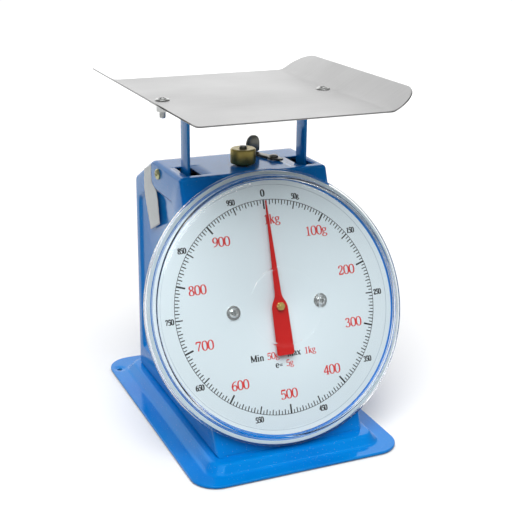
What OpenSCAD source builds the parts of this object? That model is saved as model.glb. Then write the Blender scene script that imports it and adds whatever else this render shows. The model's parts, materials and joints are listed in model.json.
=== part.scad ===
// Dial platform scale: a spring scale with a leaning round dial and a tray on top.
// Millimetres, +Z up, the dial faces -Y, origin on the ground in the middle of the base.

/* [Base] */
// Width of the base flange
base_w = 166; // [150:1:190]
// Depth of the base flange
base_d = 239; // [220:1:260]
// Height of the raised plateau that carries the housing
plateau_h = 10; // [8:0.5:12]
// Corner radius of the flange
base_r = 20; // [12:1:28]

/* [Housing] */
// Width of the housing
body_w = 120; // [116:1:126]
// Height of the flat top above the ground
body_top = 202; // [200:1:206]
// Lean of the front wall and of the dial, in degrees from upright
lean = 21; // [20:0.5:22]
// Position of the rear wall
body_rear = 90; // [86:1:96]
// Sheet thickness
sheet = 1.2; // [0.8:0.1:1.4]

/* [Dial] */
// Radius of the clear lens over its skirt
lens_r = 102.8; // [100:0.1:104]
// Radius of the dial plate
dial_r = 95.5; // [90:0.5:96]
// Height of the dial centre above the ground
dial_z = 109.5; // [108:0.5:111]

/* [Tray] */
// Depth of the tray
tray_d = 190; // [170:1:210]
// Width of the flat middle of the tray
tray_flat = 148; // [140:1:160]
// Height of the tray's flat face above the ground
tray_z = 257; // [250:0.5:262]
// Angle of the upturned sides
flare_angle = 32; // [20:1:40]
// Length of each upturned side, along its slope
flare_len = 25; // [15:1:30]

/* [Movement] */
// Module of the rack and pinion
gear_m = 0.4; // [0.4:0.05:0.4]
// Teeth on the pinion
pinion_teeth = 12; // [12:1:12]

/* [Hidden] */
$fn = 64;
e = 0.01;
// dial frame: x across, y up the dial, z out of it
dial_y = -63.9;
sn = sin(lean);
cs = cos(lean);
wall_n = -7.4;                 // housing front wall, outer face
hw = body_w / 2;
top_y = 3;                     // axis of the zero nut and hanger bolt
pitch_r = gear_m * pinion_teeth / 2;
travel = 2 * PI * pitch_r / cs; // tray travel for one turn of the pointer
lever_len = 60;
lever_up = travel / 2;         // pin height over the rod when unloaded
lever_tilt = asin(lever_up / lever_len);
rod_y = 60;
upper_rod_z = 150;
lower_rod_z = 80;
bar_t = 2.2;                   // upright thickness
bar_x = 49;                    // upright outer face
bar_w = 15;
post_z = tray_z - 3.2;         // top of the uprights' ears
screw_x = 65.3;                // tray screws
spring_x = 14;
spring_top = 176;
spring_low = 72;
dial_screw_x = 35.3;
catch_x = 29;
catch_y = 10;
slot_x0 = 40;
slot_x1 = 52;
slot_y = 14;
crossbar_y = -bar_w / 2 - 2.2; // front face of the upper crossbar

base_plate();
rubber_feet();
shell_screws();
housing_shell();
rear_panel();
rear_panel_screws();
top_bridge();
side_screws();
tape_strip();
dial_pan();
dial_plate();
dial_spacers();
dial_washers();
dial_screws();
lens();
movement_front_plate();
movement_rear_plate();
movement_pillars();
front_bush();
rear_bush();
bracket_left();
bracket_right();
bracket_screws();
guide_rods();
rod_clips();
catch_washer();
pointer();
hub_nut();
pointer_shaft();
pinion();
tray();
tray_screws();
tray_nuts();
tray_washers();
tray_support();
upright_left();
upright_right();
upper_crossbar();
lower_crossbar();
spring_anchor();
carriage_rivets();
rack();
rack_bracket();
rack_screws();
catch_lug();
spring_left();
spring_right();
upper_lever();
upper_lever_pins();
lower_lever();
lower_lever_pins();
zero_nut();
hanger_bolt();
spring_yoke();
catch_lever();
catch_shaft();
catch_dog();

// ---- helpers ----

// Front wall position at height z.
function front_y(z) = dial_y - wall_n * cs * 1 + (z - dial_z - wall_n * sn) * sn / cs;

// Left normal of the edge from a to b.
function edge_n(a, b) = let (d = b - a, l = norm(d)) [-d[1] / l, d[0] / l];

// Closed outline moved inwards by t, mitred; the outline runs anticlockwise.
function inset(p, t) = let (n = len(p)) [for (i = [0:n - 1])
    let (n1 = edge_n(p[(i + n - 1) % n], p[i]), n2 = edge_n(p[i], p[(i + 1) % n]))
    p[i] + t * (n1 + n2) / (1 + n1 * n2)];

// Points on an arc about c from angle a to b.
function arc(c, r, a, b, n = 8) = [for (i = [0:n]) c + r * [cos(a + (b - a) * i / n), sin(a + (b - a) * i / n)]];

// Rounded rectangle outline centred on the origin.
function round_rect(w, d, r) = concat(
    arc([w / 2 - r, -d / 2 + r], r, -90, 0), arc([w / 2 - r, d / 2 - r], r, 0, 90),
    arc([-w / 2 + r, d / 2 - r], r, 90, 180), arc([-w / 2 + r, -d / 2 + r], r, 180, 270));

// Places children in the dial frame.
module on_dial() translate([0, dial_y, dial_z]) rotate([90 - lean, 0, 0]) children();

// Extrudes a (y, z) outline across x, from x0 to x1.
module across(x0, x1) translate([x0, 0, 0]) rotate([90, 0, 90]) linear_extrude(x1 - x0) children();

// Cylinder along x from x0 to x1 at (y, z).
module rod_x(x0, x1, y, z, r) translate([x0, y, z]) rotate([0, 90, 0]) cylinder(h = x1 - x0, r = r);

module both_sides() {
    children();
    mirror([1, 0, 0]) children();
}

module cross_recess(r, depth) for (a = [0, 90]) rotate([0, 0, a])
    translate([-r, -r / 5, -depth]) cube([2 * r, 2 * r / 5, depth + 1]);

// Pan-head screw pointing down, its seat at z = 0.
module pan_screw(head_r, head_h, r, length) difference() {
    union() {
        rotate_extrude() polygon([[0, 0], [head_r, 0], [head_r, head_h * 0.45], [head_r * 0.7, head_h], [0, head_h]]);
        translate([0, 0, -length]) cylinder(h = length + e, r = r);
    }
    translate([0, 0, head_h]) cross_recess(head_r * 0.55, head_h * 0.5);
}

// ---- base ----
plateau_w = 128;
plateau_d = 199;
plateau_y = -2.5;
step = 5;
flange_top = 3;
under_plateau = plateau_h - 1.22;

// Raised plateau with its sloping step, grown outwards by g.
module plateau(g) hull() {
    translate([0, plateau_y, 0]) linear_extrude(flange_top + g - 1.2)
        polygon(round_rect(plateau_w + 2 * step + 2 * g, plateau_d + 2 * step + 2 * g, 13));
    translate([0, plateau_y, 0]) linear_extrude(plateau_h - 1.2 + g)
        polygon(round_rect(plateau_w + 2 * g, plateau_d + 2 * g, 10));
}

module base_plate() color([0.03, 0.36, 0.86]) difference() {
    union() {
        translate([0, 0, 0.6]) linear_extrude(flange_top - 0.6) polygon(round_rect(base_w, base_d, base_r));
        plateau(1.2);
    }
    translate([0, 0, -1]) linear_extrude(flange_top - 0.2)
        polygon(round_rect(base_w - 2.4, base_d - 2.4, base_r - 1.2));
    translate([0, 0, -0.01]) plateau(0);
    for (s = [-1, 1]) {
        translate([s * 76, 98, 0]) cylinder(h = 5, r = 2.2);
        for (y = [-60, 74]) translate([s * 54, y, 0]) cylinder(h = 20, r = 2);
        for (y = [55, 65]) translate([s * 41, y, 0]) cylinder(h = 20, r = 2);
    }
}

module rubber_feet() color([0.1, 0.1, 0.1]) for (x = [-1, 1], y = [-1, 1])
    translate([x * 70, y * 107, 0]) cylinder(h = flange_top - 1.2, r = 7);

module shell_screws() color([0.7, 0.7, 0.72]) for (s = [-1, 1], y = [-60, 74])
    translate([s * 54, y, under_plateau]) rotate([180, 0, 0]) pan_screw(3.6, 2, 1.9, 3.4);

// ---- housing ----
profile = concat([[front_y(plateau_h), plateau_h], [body_rear, plateau_h], [body_rear, 174.5], [88.2, 178.8]],
    [[43, body_top], [front_y(body_top), body_top]]);
recess = [[-4, 30], [80, 30], [80, 163], [46, 180], [-4, 180]];
recess_depth = 2.2;

module housing_shell() color([0.03, 0.36, 0.86]) difference() {
    union() {
        difference() {
            across(-hw, hw) polygon(profile);
            across(-hw + sheet, hw - sheet) polygon(inset(profile, sheet));
            translate([-44, -86, plateau_h - 1]) cube([88, 168, 4]);
            translate([-49.2, 49.8, plateau_h - 1]) cube([98.4, 20.4, 4]);
        }
        both_sides() across(-hw + 0.5, -hw + recess_depth + sheet) polygon(inset(recess, -sheet));
    }
    both_sides() across(-hw - 1, -hw + recess_depth) polygon(recess);
    // slots for the uprights, the bolt and the catch
    both_sides() translate([slot_x0, -slot_y, body_top - 5]) cube([slot_x1 - slot_x0, 2 * slot_y, 10]);
    translate([0, top_y, body_top - 5]) cylinder(h = 10, r = 3.3);
    translate([catch_x, catch_y, body_top - 5]) cylinder(h = 10, r = 2.3);
    // front wall: shaft and dial screws
    on_dial() {
        translate([0, 0, wall_n - 4]) cylinder(h = 8, r = 8);
        for (s = [-1, 1]) translate([s * dial_screw_x, 0, wall_n - 4]) cylinder(h = 8, r = 2);
    }
    // rear opening with its screw holes
    translate([-46, body_rear - 5, 30]) cube([92, 10, 125]);
    for (x = [-50, 50], z = [26, 159]) translate([x, body_rear + 5, z]) rotate([90, 0, 0]) cylinder(h = 10, r = 1.7);
    both_sides() rod_x(-hw - 5, -hw + 5, 28.1, 194.2, 2);
    for (s = [-1, 1], y = [-60, 74]) translate([s * 54, y, 5]) cylinder(h = 10, r = 2);
}

module rear_panel() color([0.03, 0.36, 0.86]) difference() {
    across(-54, 54) polygon([[body_rear, 22], [body_rear + 1.2, 22], [body_rear + 1.2, 163], [body_rear, 163]]);
    for (x = [-50, 50], z = [26, 159]) translate([x, body_rear + 5, z]) rotate([90, 0, 0]) cylinder(h = 10, r = 1.8);
}

module rear_panel_screws() color([0.7, 0.7, 0.72]) for (x = [-50, 50], z = [26, 159])
    translate([x, body_rear + 1.2, z]) rotate([-90, 0, 0]) pan_screw(3.2, 1.8, 1.6, 6);

bridge_y = [-14.5, 34];

module top_bridge() color([0.6, 0.62, 0.64]) difference() {
    union() {
        translate([-hw + sheet, bridge_y[0], body_top - 3.2]) cube([body_w - 2 * sheet, bridge_y[1] - bridge_y[0], 2]);
        both_sides() translate([-hw + sheet, 20, body_top - 14]) cube([2, 14, 12]);
    }
    both_sides() translate([slot_x0, -slot_y, body_top - 5]) cube([slot_x1 - slot_x0, 2 * slot_y, 10]);
    translate([0, top_y, body_top - 5]) cylinder(h = 10, r = 3.3);
    translate([catch_x, catch_y, body_top - 5]) cylinder(h = 10, r = 2.05);
    both_sides() rod_x(-hw - 5, -hw + 5, 28.1, 194.2, 1.95);
}

module side_screws() color([0.72, 0.72, 0.74]) both_sides()
    translate([-hw, 28.1, 194.2]) rotate([0, -90, 0]) pan_screw(4.2, 2.6, 1.9, 5);

tape = [[64, 190], [46, 198], [45, 184], [33, 177], [26.8, 154.3], [50.3, 143.2], [64, 171]];

module tape_strip() color([0.85, 0.8, 0.7, 0.8]) across(-hw - 0.2, -hw) polygon(tape);

// ---- dial ----
pan_floor = wall_n + 0.002;
pan_rim = 98.6;

module dial_pan() color([0.03, 0.2, 0.6]) on_dial() difference() {
    rotate_extrude($fn = 128) polygon([[8, pan_floor], [87, pan_floor], [88, -1.8], [pan_rim, -1.8], [pan_rim, 0.2],
        [101.2, 0.2], [101.2, 1.5], [pan_rim - 1, 1.5], [pan_rim - 1, -0.8], [86.8, -0.8], [85.9, pan_floor + 1],
        [8, pan_floor + 1]]);
    for (s = [-1, 1]) translate([s * dial_screw_x, 0, pan_floor - 1]) cylinder(h = 4, r = 2);
}

module dial_plate() color([0.93, 0.94, 0.95]) on_dial() difference() {
    translate([0, 0, -0.8]) cylinder(h = 0.8, r = dial_r, $fn = 128);
    translate([0, 0, -2]) cylinder(h = 4, r = 3.5);
    for (s = [-1, 1]) translate([s * dial_screw_x, 0, -2]) cylinder(h = 4, r = 2);
}

module dial_spacers() color([0.7, 0.7, 0.72]) on_dial() for (s = [-1, 1])
    translate([s * dial_screw_x, 0, 0]) difference() {
        translate([0, 0, pan_floor + 1]) cylinder(h = -pan_floor - 1.8, r = 4);
        translate([0, 0, pan_floor]) cylinder(h = 10, r = 2);
    }

module dial_washers() color([0.8, 0.82, 0.82]) on_dial() for (s = [-1, 1])
    translate([s * dial_screw_x, 0, 0]) difference() {
        cylinder(h = 0.9, r = 5.4);
        translate([0, 0, -1]) cylinder(h = 4, r = 2);
    }

module dial_screws() color([0.75, 0.76, 0.78]) on_dial() for (s = [-1, 1])
    translate([s * dial_screw_x, 0, 0.9]) pan_screw(3.7, 2.2, 1.9, 11.4);

lens_t = 1.4;
lens_edge_n = 9.4;
lens_mid_n = 15.8;
// Height of the domed face at radius r; the dome is a shallow ball of the radius that meets edge and middle.
dome_r = 94;
dome_ball = (dome_r * dome_r + pow(lens_mid_n - lens_edge_n - 0.9, 2)) / 2 / (lens_mid_n - lens_edge_n - 0.9);
function dome(r) = lens_mid_n - dome_ball + sqrt(dome_ball * dome_ball - r * r);
ring_r = 28.5;

module lens() color([0.85, 0.92, 0.95, 0.3]) on_dial() rotate_extrude($fn = 128) polygon(concat(
    [[lens_r, -1], [lens_r, 2.9], [98.4, 2.9], [96.4, lens_edge_n - 0.6], [95.4, lens_edge_n + 0.4]],
    [for (i = [0:6]) let (r = 94 - i * 10.5) [r, dome(r)]],
    [[ring_r + 1, dome(ring_r + 1)], [ring_r + 0.7, dome(ring_r) + 0.4], [ring_r - 0.7, dome(ring_r) + 0.4],
     [ring_r - 1, dome(ring_r - 1)], [14, dome(14)], [0, lens_mid_n], [0, lens_mid_n - lens_t]],
    [for (i = [0:6]) let (r = 14 + i * 13.2) [r, dome(r) - lens_t]],
    [[94.6, lens_edge_n - 1.2], [96.6, 1.5], [lens_r - lens_t, 1.5], [lens_r - lens_t, -1]]));

// ---- movement ----
plate_f = wall_n - sheet;      // front plate, outer face
plate_r = -34.6;               // rear plate, front face

module movement_plate(n0, t, hole) translate([0, 0, n0]) difference() {
    linear_extrude(t) polygon(round_rect(86, 32, 5));
    translate([0, 0, -1]) cylinder(h = 5, r = hole);
    for (x = [-30, 30], y = [-11, 11]) translate([x, y, -1]) cylinder(h = 5, r = 1.6);
}

module movement_front_plate() color([0.7, 0.72, 0.74]) on_dial() difference() {
    movement_plate(plate_f - 2, 2, 4.05);
    for (s = [-1, 1]) translate([s * dial_screw_x, 0, plate_f - 4]) cylinder(h = 8, r = 1.95);
}

module movement_rear_plate() color([0.7, 0.72, 0.74]) on_dial() movement_plate(plate_r - 2, 2, 3.55);

module movement_pillars() color([0.75, 0.65, 0.35]) on_dial() for (x = [-30, 30], y = [-11, 11]) translate([x, y, 0]) {
    translate([0, 0, plate_r]) cylinder(h = plate_f - 2 - plate_r, r = 3);
    translate([0, 0, plate_f - 2 - e]) cylinder(h = 1.9, r = 1.55);
    translate([0, 0, plate_r - 2]) cylinder(h = 2 + e, r = 1.55);
    translate([0, 0, plate_r - 4]) cylinder(h = 2, r = 2.8);
}

shaft_r = 1.5;
shaft_end = 8.2;

module front_bush() color([0.8, 0.65, 0.3]) on_dial() difference() {
    union() {
        translate([0, 0, plate_f - 2]) cylinder(h = 6, r = 4);
        translate([0, 0, plate_f - 3]) cylinder(h = 1, r = 6);
    }
    translate([0, 0, plate_f - 5]) cylinder(h = 12, r = shaft_r + 0.04);
}

module rear_bush() color([0.8, 0.65, 0.3]) on_dial() difference() {
    union() {
        translate([0, 0, plate_r - 3]) cylinder(h = 3, r = 3.5);
        translate([0, 0, plate_r]) cylinder(h = 1, r = 5);
    }
    translate([0, 0, plate_r - 5]) cylinder(h = 12, r = shaft_r + 0.04);
}

pinion_n = [-24.4, -13.2];

module pointer_shaft() color([0.75, 0.76, 0.78]) on_dial()
    translate([0, 0, plate_r - 3.5]) cylinder(h = shaft_end - plate_r + 3.5, r = shaft_r);

// Pinion tooth: straight flanks through the pitch point, thinned for backlash.
tooth_a = 360 / pinion_teeth;
pinion_tip = pitch_r + 0.30;
pinion_root = pitch_r - 0.48;
function pinion_pt(r, a) = r * [cos(a), sin(a)];
pinion_outline = [for (i = [0:pinion_teeth - 1]) let (c = i * tooth_a) each [
    pinion_pt(pinion_root, c - 8.6), pinion_pt(pitch_r - 0.12, c - 7.0), pinion_pt(pitch_r + 0.08, c - 5.6),
    pinion_pt(pinion_tip, c - 3.0), pinion_pt(pinion_tip, c + 3.0), pinion_pt(pitch_r + 0.08, c + 5.6),
    pinion_pt(pitch_r - 0.12, c + 7.0), pinion_pt(pinion_root, c + 8.6)]];

module pinion() color([0.8, 0.65, 0.3]) on_dial() difference() {
    translate([0, 0, pinion_n[0]]) linear_extrude(pinion_n[1] - pinion_n[0]) polygon(pinion_outline);
    translate([0, 0, pinion_n[0] - 1]) cylinder(h = 20, r = shaft_r);
}

rack_pitch = PI * gear_m;
rack_n = [-17, -15];
rack_low = -6;
rack_high = 52;
rack_teeth_to = 22;
// A rack gap faces the pinion tooth that points at it when unloaded.
rack_outline = concat([[11, rack_low], [11, rack_high], [3.4, rack_high]],
    [[pitch_r + 0.42, rack_teeth_to]],
    [for (i = [16:-1:-4]) let (y = (i + 0.5) * rack_pitch) each [
        [pitch_r + 0.42, y + 0.46], [pitch_r - 0.26, y + 0.20], [pitch_r - 0.26, y - 0.20],
        [pitch_r + 0.42, y - 0.46]]],
    [[pitch_r + 0.42, rack_low]]);

module rack() color([0.7, 0.72, 0.74]) on_dial() difference() {
    translate([0, 0, rack_n[0]]) linear_extrude(rack_n[1] - rack_n[0]) polygon(rack_outline);
    for (y = [39, 47]) translate([7, y, rack_n[0] - 1]) cylinder(h = 4, r = 1.3);
}

module rack_bracket() color([0.6, 0.62, 0.64]) difference() {
    union() {
        on_dial() translate([1, 35, rack_n[0] - 2]) cube([12, 15, 2]);
        across(1, 13) polygon([[-31.5, 145.5], [-28.2, 148], [-11.7, 148], [-11.7, 158], [crossbar_y, 158],
            [crossbar_y, 146], [-27.6, 146], [-29.4, 144.6]]);
    }
    on_dial() for (y = [39, 47]) translate([7, y, rack_n[0] - 4]) cylinder(h = 8, r = 1.3);
    rotate([90, 0, 0]) for (x = [4, 10]) translate([x, 154, 5]) cylinder(h = 10, r = 1.3);
}

module rack_screws() color([0.75, 0.76, 0.78]) {
    on_dial() for (y = [39, 47]) translate([7, y, rack_n[1]]) pan_screw(2.4, 1.3, 1.25, 4.6);
    for (x = [4, 10]) translate([x, crossbar_y - 2, 154]) rotate([90, 0, 0]) pan_screw(2.4, 1.3, 1.25, 4);
}

// ---- pointer ----
module pointer() color([0.85, 0.05, 0.04]) on_dial() difference() {
    union() {
        translate([0, 0, 4.2]) linear_extrude(0.7) polygon([[-7, -36.2], [7, -36.2], [6.3, 0], [5.4, 2.8],
            [2.7, 7.5], [0.5, 79.1], [-0.5, 79.1], [-2.7, 7.5], [-5.4, 2.8], [-6.3, 0]]);
        translate([0, 0, 2.2]) cylinder(h = 2.1, r = 3);
    }
    translate([0, 0, 0]) cylinder(h = 8, r = shaft_r);
}

module hub_nut() color([0.8, 0.65, 0.3]) on_dial() translate([0, 0, 4.9]) difference() {
    cylinder(h = 2.6, r = 3.2, $fn = 6);
    translate([0, 0, -1]) cylinder(h = 8, r = shaft_r);
}

// ---- tray ----
tray_t = 1;
flare_x = flare_len * cos(flare_angle);
flare_z = flare_len * sin(flare_angle);
bend_r = 10;
bend_x = tray_flat / 2 - bend_r * tan(flare_angle / 2);
end_x = tray_flat / 2 + flare_x;
// Section of the right half, upper face, from the middle outwards; then the lower face back.
tray_upper = concat([[0, tray_z]], [for (i = [0:6]) let (a = flare_angle * i / 6)
    [bend_x + bend_r * sin(a), tray_z + bend_r * (1 - cos(a))]], [[end_x, tray_z + flare_z]]);
tray_lower = concat([[end_x + tray_t * sin(flare_angle), tray_z + flare_z - tray_t * cos(flare_angle)]],
    [for (i = [6:-1:0]) let (a = flare_angle * i / 6)
        [bend_x + (bend_r + tray_t) * sin(a), tray_z + bend_r - (bend_r + tray_t) * cos(a)]], [[0, tray_z - tray_t]]);

module tray() color([0.8, 0.8, 0.8]) difference() {
    intersection() {
        both_sides() translate([0, tray_d / 2, 0]) rotate([90, 0, 0]) linear_extrude(tray_d)
            polygon(concat(tray_lower, tray_upper));
        linear_extrude(400) polygon(round_rect(2 * end_x + 2 * tray_t * sin(flare_angle), tray_d, 20));
    }
    for (s = [-1, 1]) translate([s * screw_x, 0, tray_z - 5]) cylinder(h = 10, r = 2.6);
}

module tray_screws() color([0.78, 0.78, 0.8]) for (s = [-1, 1]) translate([s * screw_x, 0, tray_z])
    pan_screw(5.4, 1.7, 2.5, 13.2);

module tray_washers() color([0.7, 0.7, 0.72]) for (s = [-1, 1]) translate([s * screw_x, 0, tray_z - 4.2]) difference() {
    cylinder(h = 1, r = 4.4);
    translate([0, 0, -1]) cylinder(h = 4, r = 2.55);
    translate([0, -0.4, -1]) cube([6, 0.8, 4]);
}

module tray_nuts() color([0.75, 0.75, 0.77]) for (s = [-1, 1]) translate([s * screw_x, 0, tray_z - 8.2]) difference() {
    cylinder(h = 4, r = 4.62, $fn = 6);
    translate([0, 0, -1]) cylinder(h = 8, r = 2.52);
}

module tray_support() color([0.72, 0.73, 0.75]) difference() {
    translate([0, 0, post_z]) linear_extrude(2.2) polygon(round_rect(144, 30, 5));
    for (s = [-1, 1]) {
        translate([s * screw_x, 0, post_z - 1]) cylinder(h = 5, r = 2.6);
        translate([s * 36, 0, post_z - 1]) cylinder(h = 5, r = 1.6);
    }
    translate([-20, -7, post_z - 1]) cube([40, 14, 5]);
}

// ---- carriage ----
// Slot for a lever pin, sunk through an upright: the pin moves back by the lever's arc.
pin_r = 2;
pin_back = lever_len * (1 - cos(lever_tilt));

module pin_slot(z) {
    rod_x(-60, -40, 0, z, pin_r + 0.05);
    rod_x(-60, -40, pin_back, z, pin_r + 0.05);
    translate([-60, 0, z - pin_r - 0.05]) cube([20, pin_back, 2 * pin_r + 0.1]);
}

module upright() difference() {
    union() {
        translate([-bar_x, -bar_w / 2, 58]) cube([bar_t, bar_w, post_z - 58]);
        translate([-bar_x, -bar_w / 2, post_z - bar_t]) cube([22, bar_w, bar_t]);
    }
    pin_slot(upper_rod_z + lever_up);
    pin_slot(lower_rod_z + lever_up);
    translate([-36, 0, post_z - 5]) cylinder(h = 10, r = 1.6);
    for (z = [64]) rod_x(-60, -40, 0, z, 1.6);
}

module upright_left() color([0.03, 0.2, 0.65]) upright();

module upright_right() color([0.03, 0.2, 0.65]) difference() {
    mirror([1, 0, 0]) upright();
    rod_x(40, 60, 0, 184, 1.6);
}

bar_in = bar_x - bar_t;

module upper_crossbar() color([0.6, 0.62, 0.64]) difference() {
    across(-bar_x, bar_x) polygon([[crossbar_y, 150], [-bar_w / 2, 150], [-bar_w / 2, 164], [crossbar_y, 164]]);
    rotate([90, 0, 0]) for (x = [4, 10]) translate([x, 154, 5]) cylinder(h = 10, r = 1.3);
}

module lower_crossbar() color([0.6, 0.62, 0.64]) difference() {
    union() {
        translate([-bar_in, -bar_w / 2, 58]) cube([2 * bar_in, bar_w, 2.2]);
        both_sides() translate([-bar_in, -bar_w / 2, 58]) cube([2, bar_w, 14]);
    }
    both_sides() rod_x(-60, -40, 0, 64, 1.6);
    for (s = [-1, 1]) translate([s * 24, 0, 50]) cylinder(h = 20, r = 1.6);
}

module spring_anchor() color([0.7, 0.72, 0.74]) difference() {
    union() {
        translate([-28, -4, 60.2]) cube([56, 14, 2]);
        for (y = [-4, 8]) translate([-20, y, 60.2]) cube([40, 2, 15.8]);
        for (s = [-1, 1]) translate([s * spring_x, -4, spring_low]) rotate([-90, 0, 0]) cylinder(h = 14, r = 1.5);
    }
    for (s = [-1, 1]) translate([s * 24, 0, 50]) cylinder(h = 20, r = 1.6);
}

module rivet_z(x, y, z0, z1) translate([x, y, 0]) {
    translate([0, 0, z0]) cylinder(h = z1 - z0, r = 1.55);
    translate([0, 0, z0 - 1]) cylinder(h = 1, r = 2.8);
    translate([0, 0, z1]) cylinder(h = 0.01, r = 1.55);
}

module carriage_rivets() color([0.75, 0.76, 0.78]) {
    for (s = [-1, 1]) {
        rivet_z(s * 36, 0, post_z - bar_t, post_z + 2.1);
        translate([s * 24, 0, 57]) cylinder(h = 5.2, r = 1.55);
        translate([s * 24, 0, 57]) cylinder(h = 1, r = 2.8);
        translate([s * 24, 0, 62.2]) cylinder(h = 1, r = 2.8);
    }
    both_sides() {
        rod_x(-bar_x - 1, -bar_in + 2, 0, 64, 1.55);
        rod_x(-bar_x - 1, -bar_x, 0, 64, 2.8);
        rod_x(-bar_in + 2, -bar_in + 3, 0, 64, 2.8);
    }
    rod_x(bar_in - 1.5, bar_x + 1, 0, 184, 1.55);
    rod_x(bar_x, bar_x + 1, 0, 184, 2.8);
    rod_x(bar_in - 2.5, bar_in - 1.5, 0, 184, 2.8);
}

module catch_lug() color([0.7, 0.72, 0.74]) difference() {
    union() {
        translate([bar_in - 1.5, -5, 179]) cube([1.5, 10, 11.1]);
        translate([37, -5, 188.4]) cube([bar_in - 37, 10, 1.7]);
    }
    rod_x(40, 60, 0, 184, 1.6);
}

// ---- springs ----
coil_r = 5.4;
wire_r = 0.6;
turns = 20;
coil_low = 80;
coil_top = 168;
per_turn = 12;
// Centre line: lower hook, coil, upper hook.
coil_path = concat([[2.3, 0, spring_low + 1.2]],
    [for (i = [0:5]) let (a = 0 - i * 40) [2.3 * cos(a), 0, spring_low + 2.3 * sin(a)]],
    [[-2.6, 0, 75], [-4.6, 0, 77.6]],
    [for (i = [0:turns * per_turn]) let (a = 180 + i * 360 / per_turn)
        [coil_r * cos(a), coil_r * sin(a), coil_low + (coil_top - coil_low) * i / (turns * per_turn)]],
    [[-4.6, 0, 170.4], [-2.6, 0, 173]],
    [for (i = [0:5]) let (a = 160 - i * 40) [2.3 * cos(a), 0, spring_top + 2.3 * sin(a)]]);
wire_sides = 6;
function unit(v) = v / norm(v);
function tangent(i) = unit(coil_path[min(i + 1, len(coil_path) - 1)] - coil_path[max(i - 1, 0)]);
function side(t) = unit(cross(abs(t[1]) > 0.9 ? [0, 0, 1] : [0, 1, 0.001], t));
coil_points = [for (i = [0:len(coil_path) - 1]) let (t = tangent(i), u = side(t), v = cross(t, u))
    for (k = [0:wire_sides - 1]) coil_path[i] + wire_r * (cos(k * 60) * u + sin(k * 60) * v)];
last_ring = (len(coil_path) - 1) * wire_sides;
coil_faces = concat([[for (k = [wire_sides - 1:-1:0]) k]], [[for (k = [0:wire_sides - 1]) last_ring + k]],
    [for (i = [0:len(coil_path) - 2]) for (k = [0:wire_sides - 1]) let (a = i * wire_sides + k,
        b = i * wire_sides + (k + 1) % wire_sides) each [[a, b, b + wire_sides], [a, b + wire_sides, a + wire_sides]]]);

module spring() translate([0, top_y, 0]) polyhedron(coil_points, coil_faces);

module spring_left() color([0.75, 0.76, 0.78]) translate([-spring_x, 0, 0]) spring();

module spring_right() color([0.75, 0.76, 0.78]) translate([spring_x, 0, 0]) spring();

// ---- guide levers ----
arm_x = 42.5;

module lever(z) difference() {
    translate([0, rod_y, z]) rotate([-lever_tilt, 0, 0]) union() {
        both_sides() translate([-arm_x - 1.5, -lever_len - 5, -5]) cube([1.5, lever_len + 10, 10]);
        translate([-arm_x - 1.5, -10, -5]) cube([2 * arm_x + 3, 1.5, 10]);
    }
    rod_x(-60, 60, rod_y, z, pin_r + 0.05);
    both_sides() translate([0, rod_y, z]) rotate([-lever_tilt, 0, 0]) rod_x(-60, -30, -lever_len, 0, pin_r + 0.01);
}

module lever_pins(z) both_sides() translate([0, rod_y, z]) rotate([-lever_tilt, 0, 0]) {
    rod_x(-50.4, -arm_x + 1, -lever_len, 0, pin_r);
    rod_x(-arm_x, -arm_x + 1, -lever_len, 0, 3);
}

module upper_lever() color([0.65, 0.67, 0.7]) lever(upper_rod_z);

module lower_lever() color([0.65, 0.67, 0.7]) lever(lower_rod_z);

module upper_lever_pins() color([0.75, 0.76, 0.78]) lever_pins(upper_rod_z);

module lower_lever_pins() color([0.75, 0.76, 0.78]) lever_pins(lower_rod_z);

bracket_x = 47;

module bracket() difference() {
    union() {
        translate([-bracket_x - 2, 50, plateau_h]) cube([2, 20, 150]);
        translate([-bracket_x - 2, 50, plateau_h]) cube([14, 20, 2]);
    }
    for (z = [upper_rod_z, lower_rod_z]) rod_x(-60, -30, rod_y, z, pin_r);
    for (y = [55, 65]) translate([-41, y, 0]) cylinder(h = 20, r = 1.95);
}

module bracket_left() color([0.6, 0.62, 0.64]) bracket();

module bracket_right() color([0.6, 0.62, 0.64]) mirror([1, 0, 0]) bracket();

module bracket_screws() color([0.7, 0.7, 0.72]) for (s = [-1, 1], y = [55, 65])
    translate([s * 41, y, under_plateau]) rotate([180, 0, 0]) pan_screw(3.4, 1.8, 1.9, 5);

module guide_rods() color([0.75, 0.76, 0.78]) for (z = [upper_rod_z, lower_rod_z])
    rod_x(-51.5, 51.5, rod_y, z, pin_r);

module rod_clips() color([0.4, 0.4, 0.42]) for (z = [upper_rod_z, lower_rod_z]) both_sides() difference() {
    rod_x(-50.1, -bracket_x - 2.1, rod_y, z, 3.4);
    rod_x(-60, -30, rod_y, z, pin_r);
}

// ---- zero adjustment ----
nut_r = 9.8;
nut_z = [205.2, 215.2];
bolt_r = 3;

module zero_nut() color([0.8, 0.66, 0.3]) translate([0, top_y, 0]) difference() {
    rotate_extrude() polygon([[0, body_top + 0.02], [5.5, body_top + 0.02], [5.5, nut_z[0]], [nut_r - 0.5, nut_z[0]],
        [nut_r, nut_z[0] + 0.5], [nut_r, nut_z[1] - 0.7], [nut_r - 0.7, nut_z[1]], [0, nut_z[1]]]);
    translate([0, 0, body_top - 1]) cylinder(h = 20, r = bolt_r + 0.06);
}

module hanger_bolt() color([0.6, 0.6, 0.62]) translate([0, top_y, 0]) {
    translate([0, 0, 183.5]) cylinder(h = 33, r = bolt_r);
    translate([0, 0, 216.5]) rotate_extrude() polygon([[0, -e], [bolt_r, -e], [bolt_r - 0.6, 0.6], [0, 0.6]]);
    translate([0, 0, 180]) cylinder(h = 4, r = 5.1, $fn = 6);
}

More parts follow.
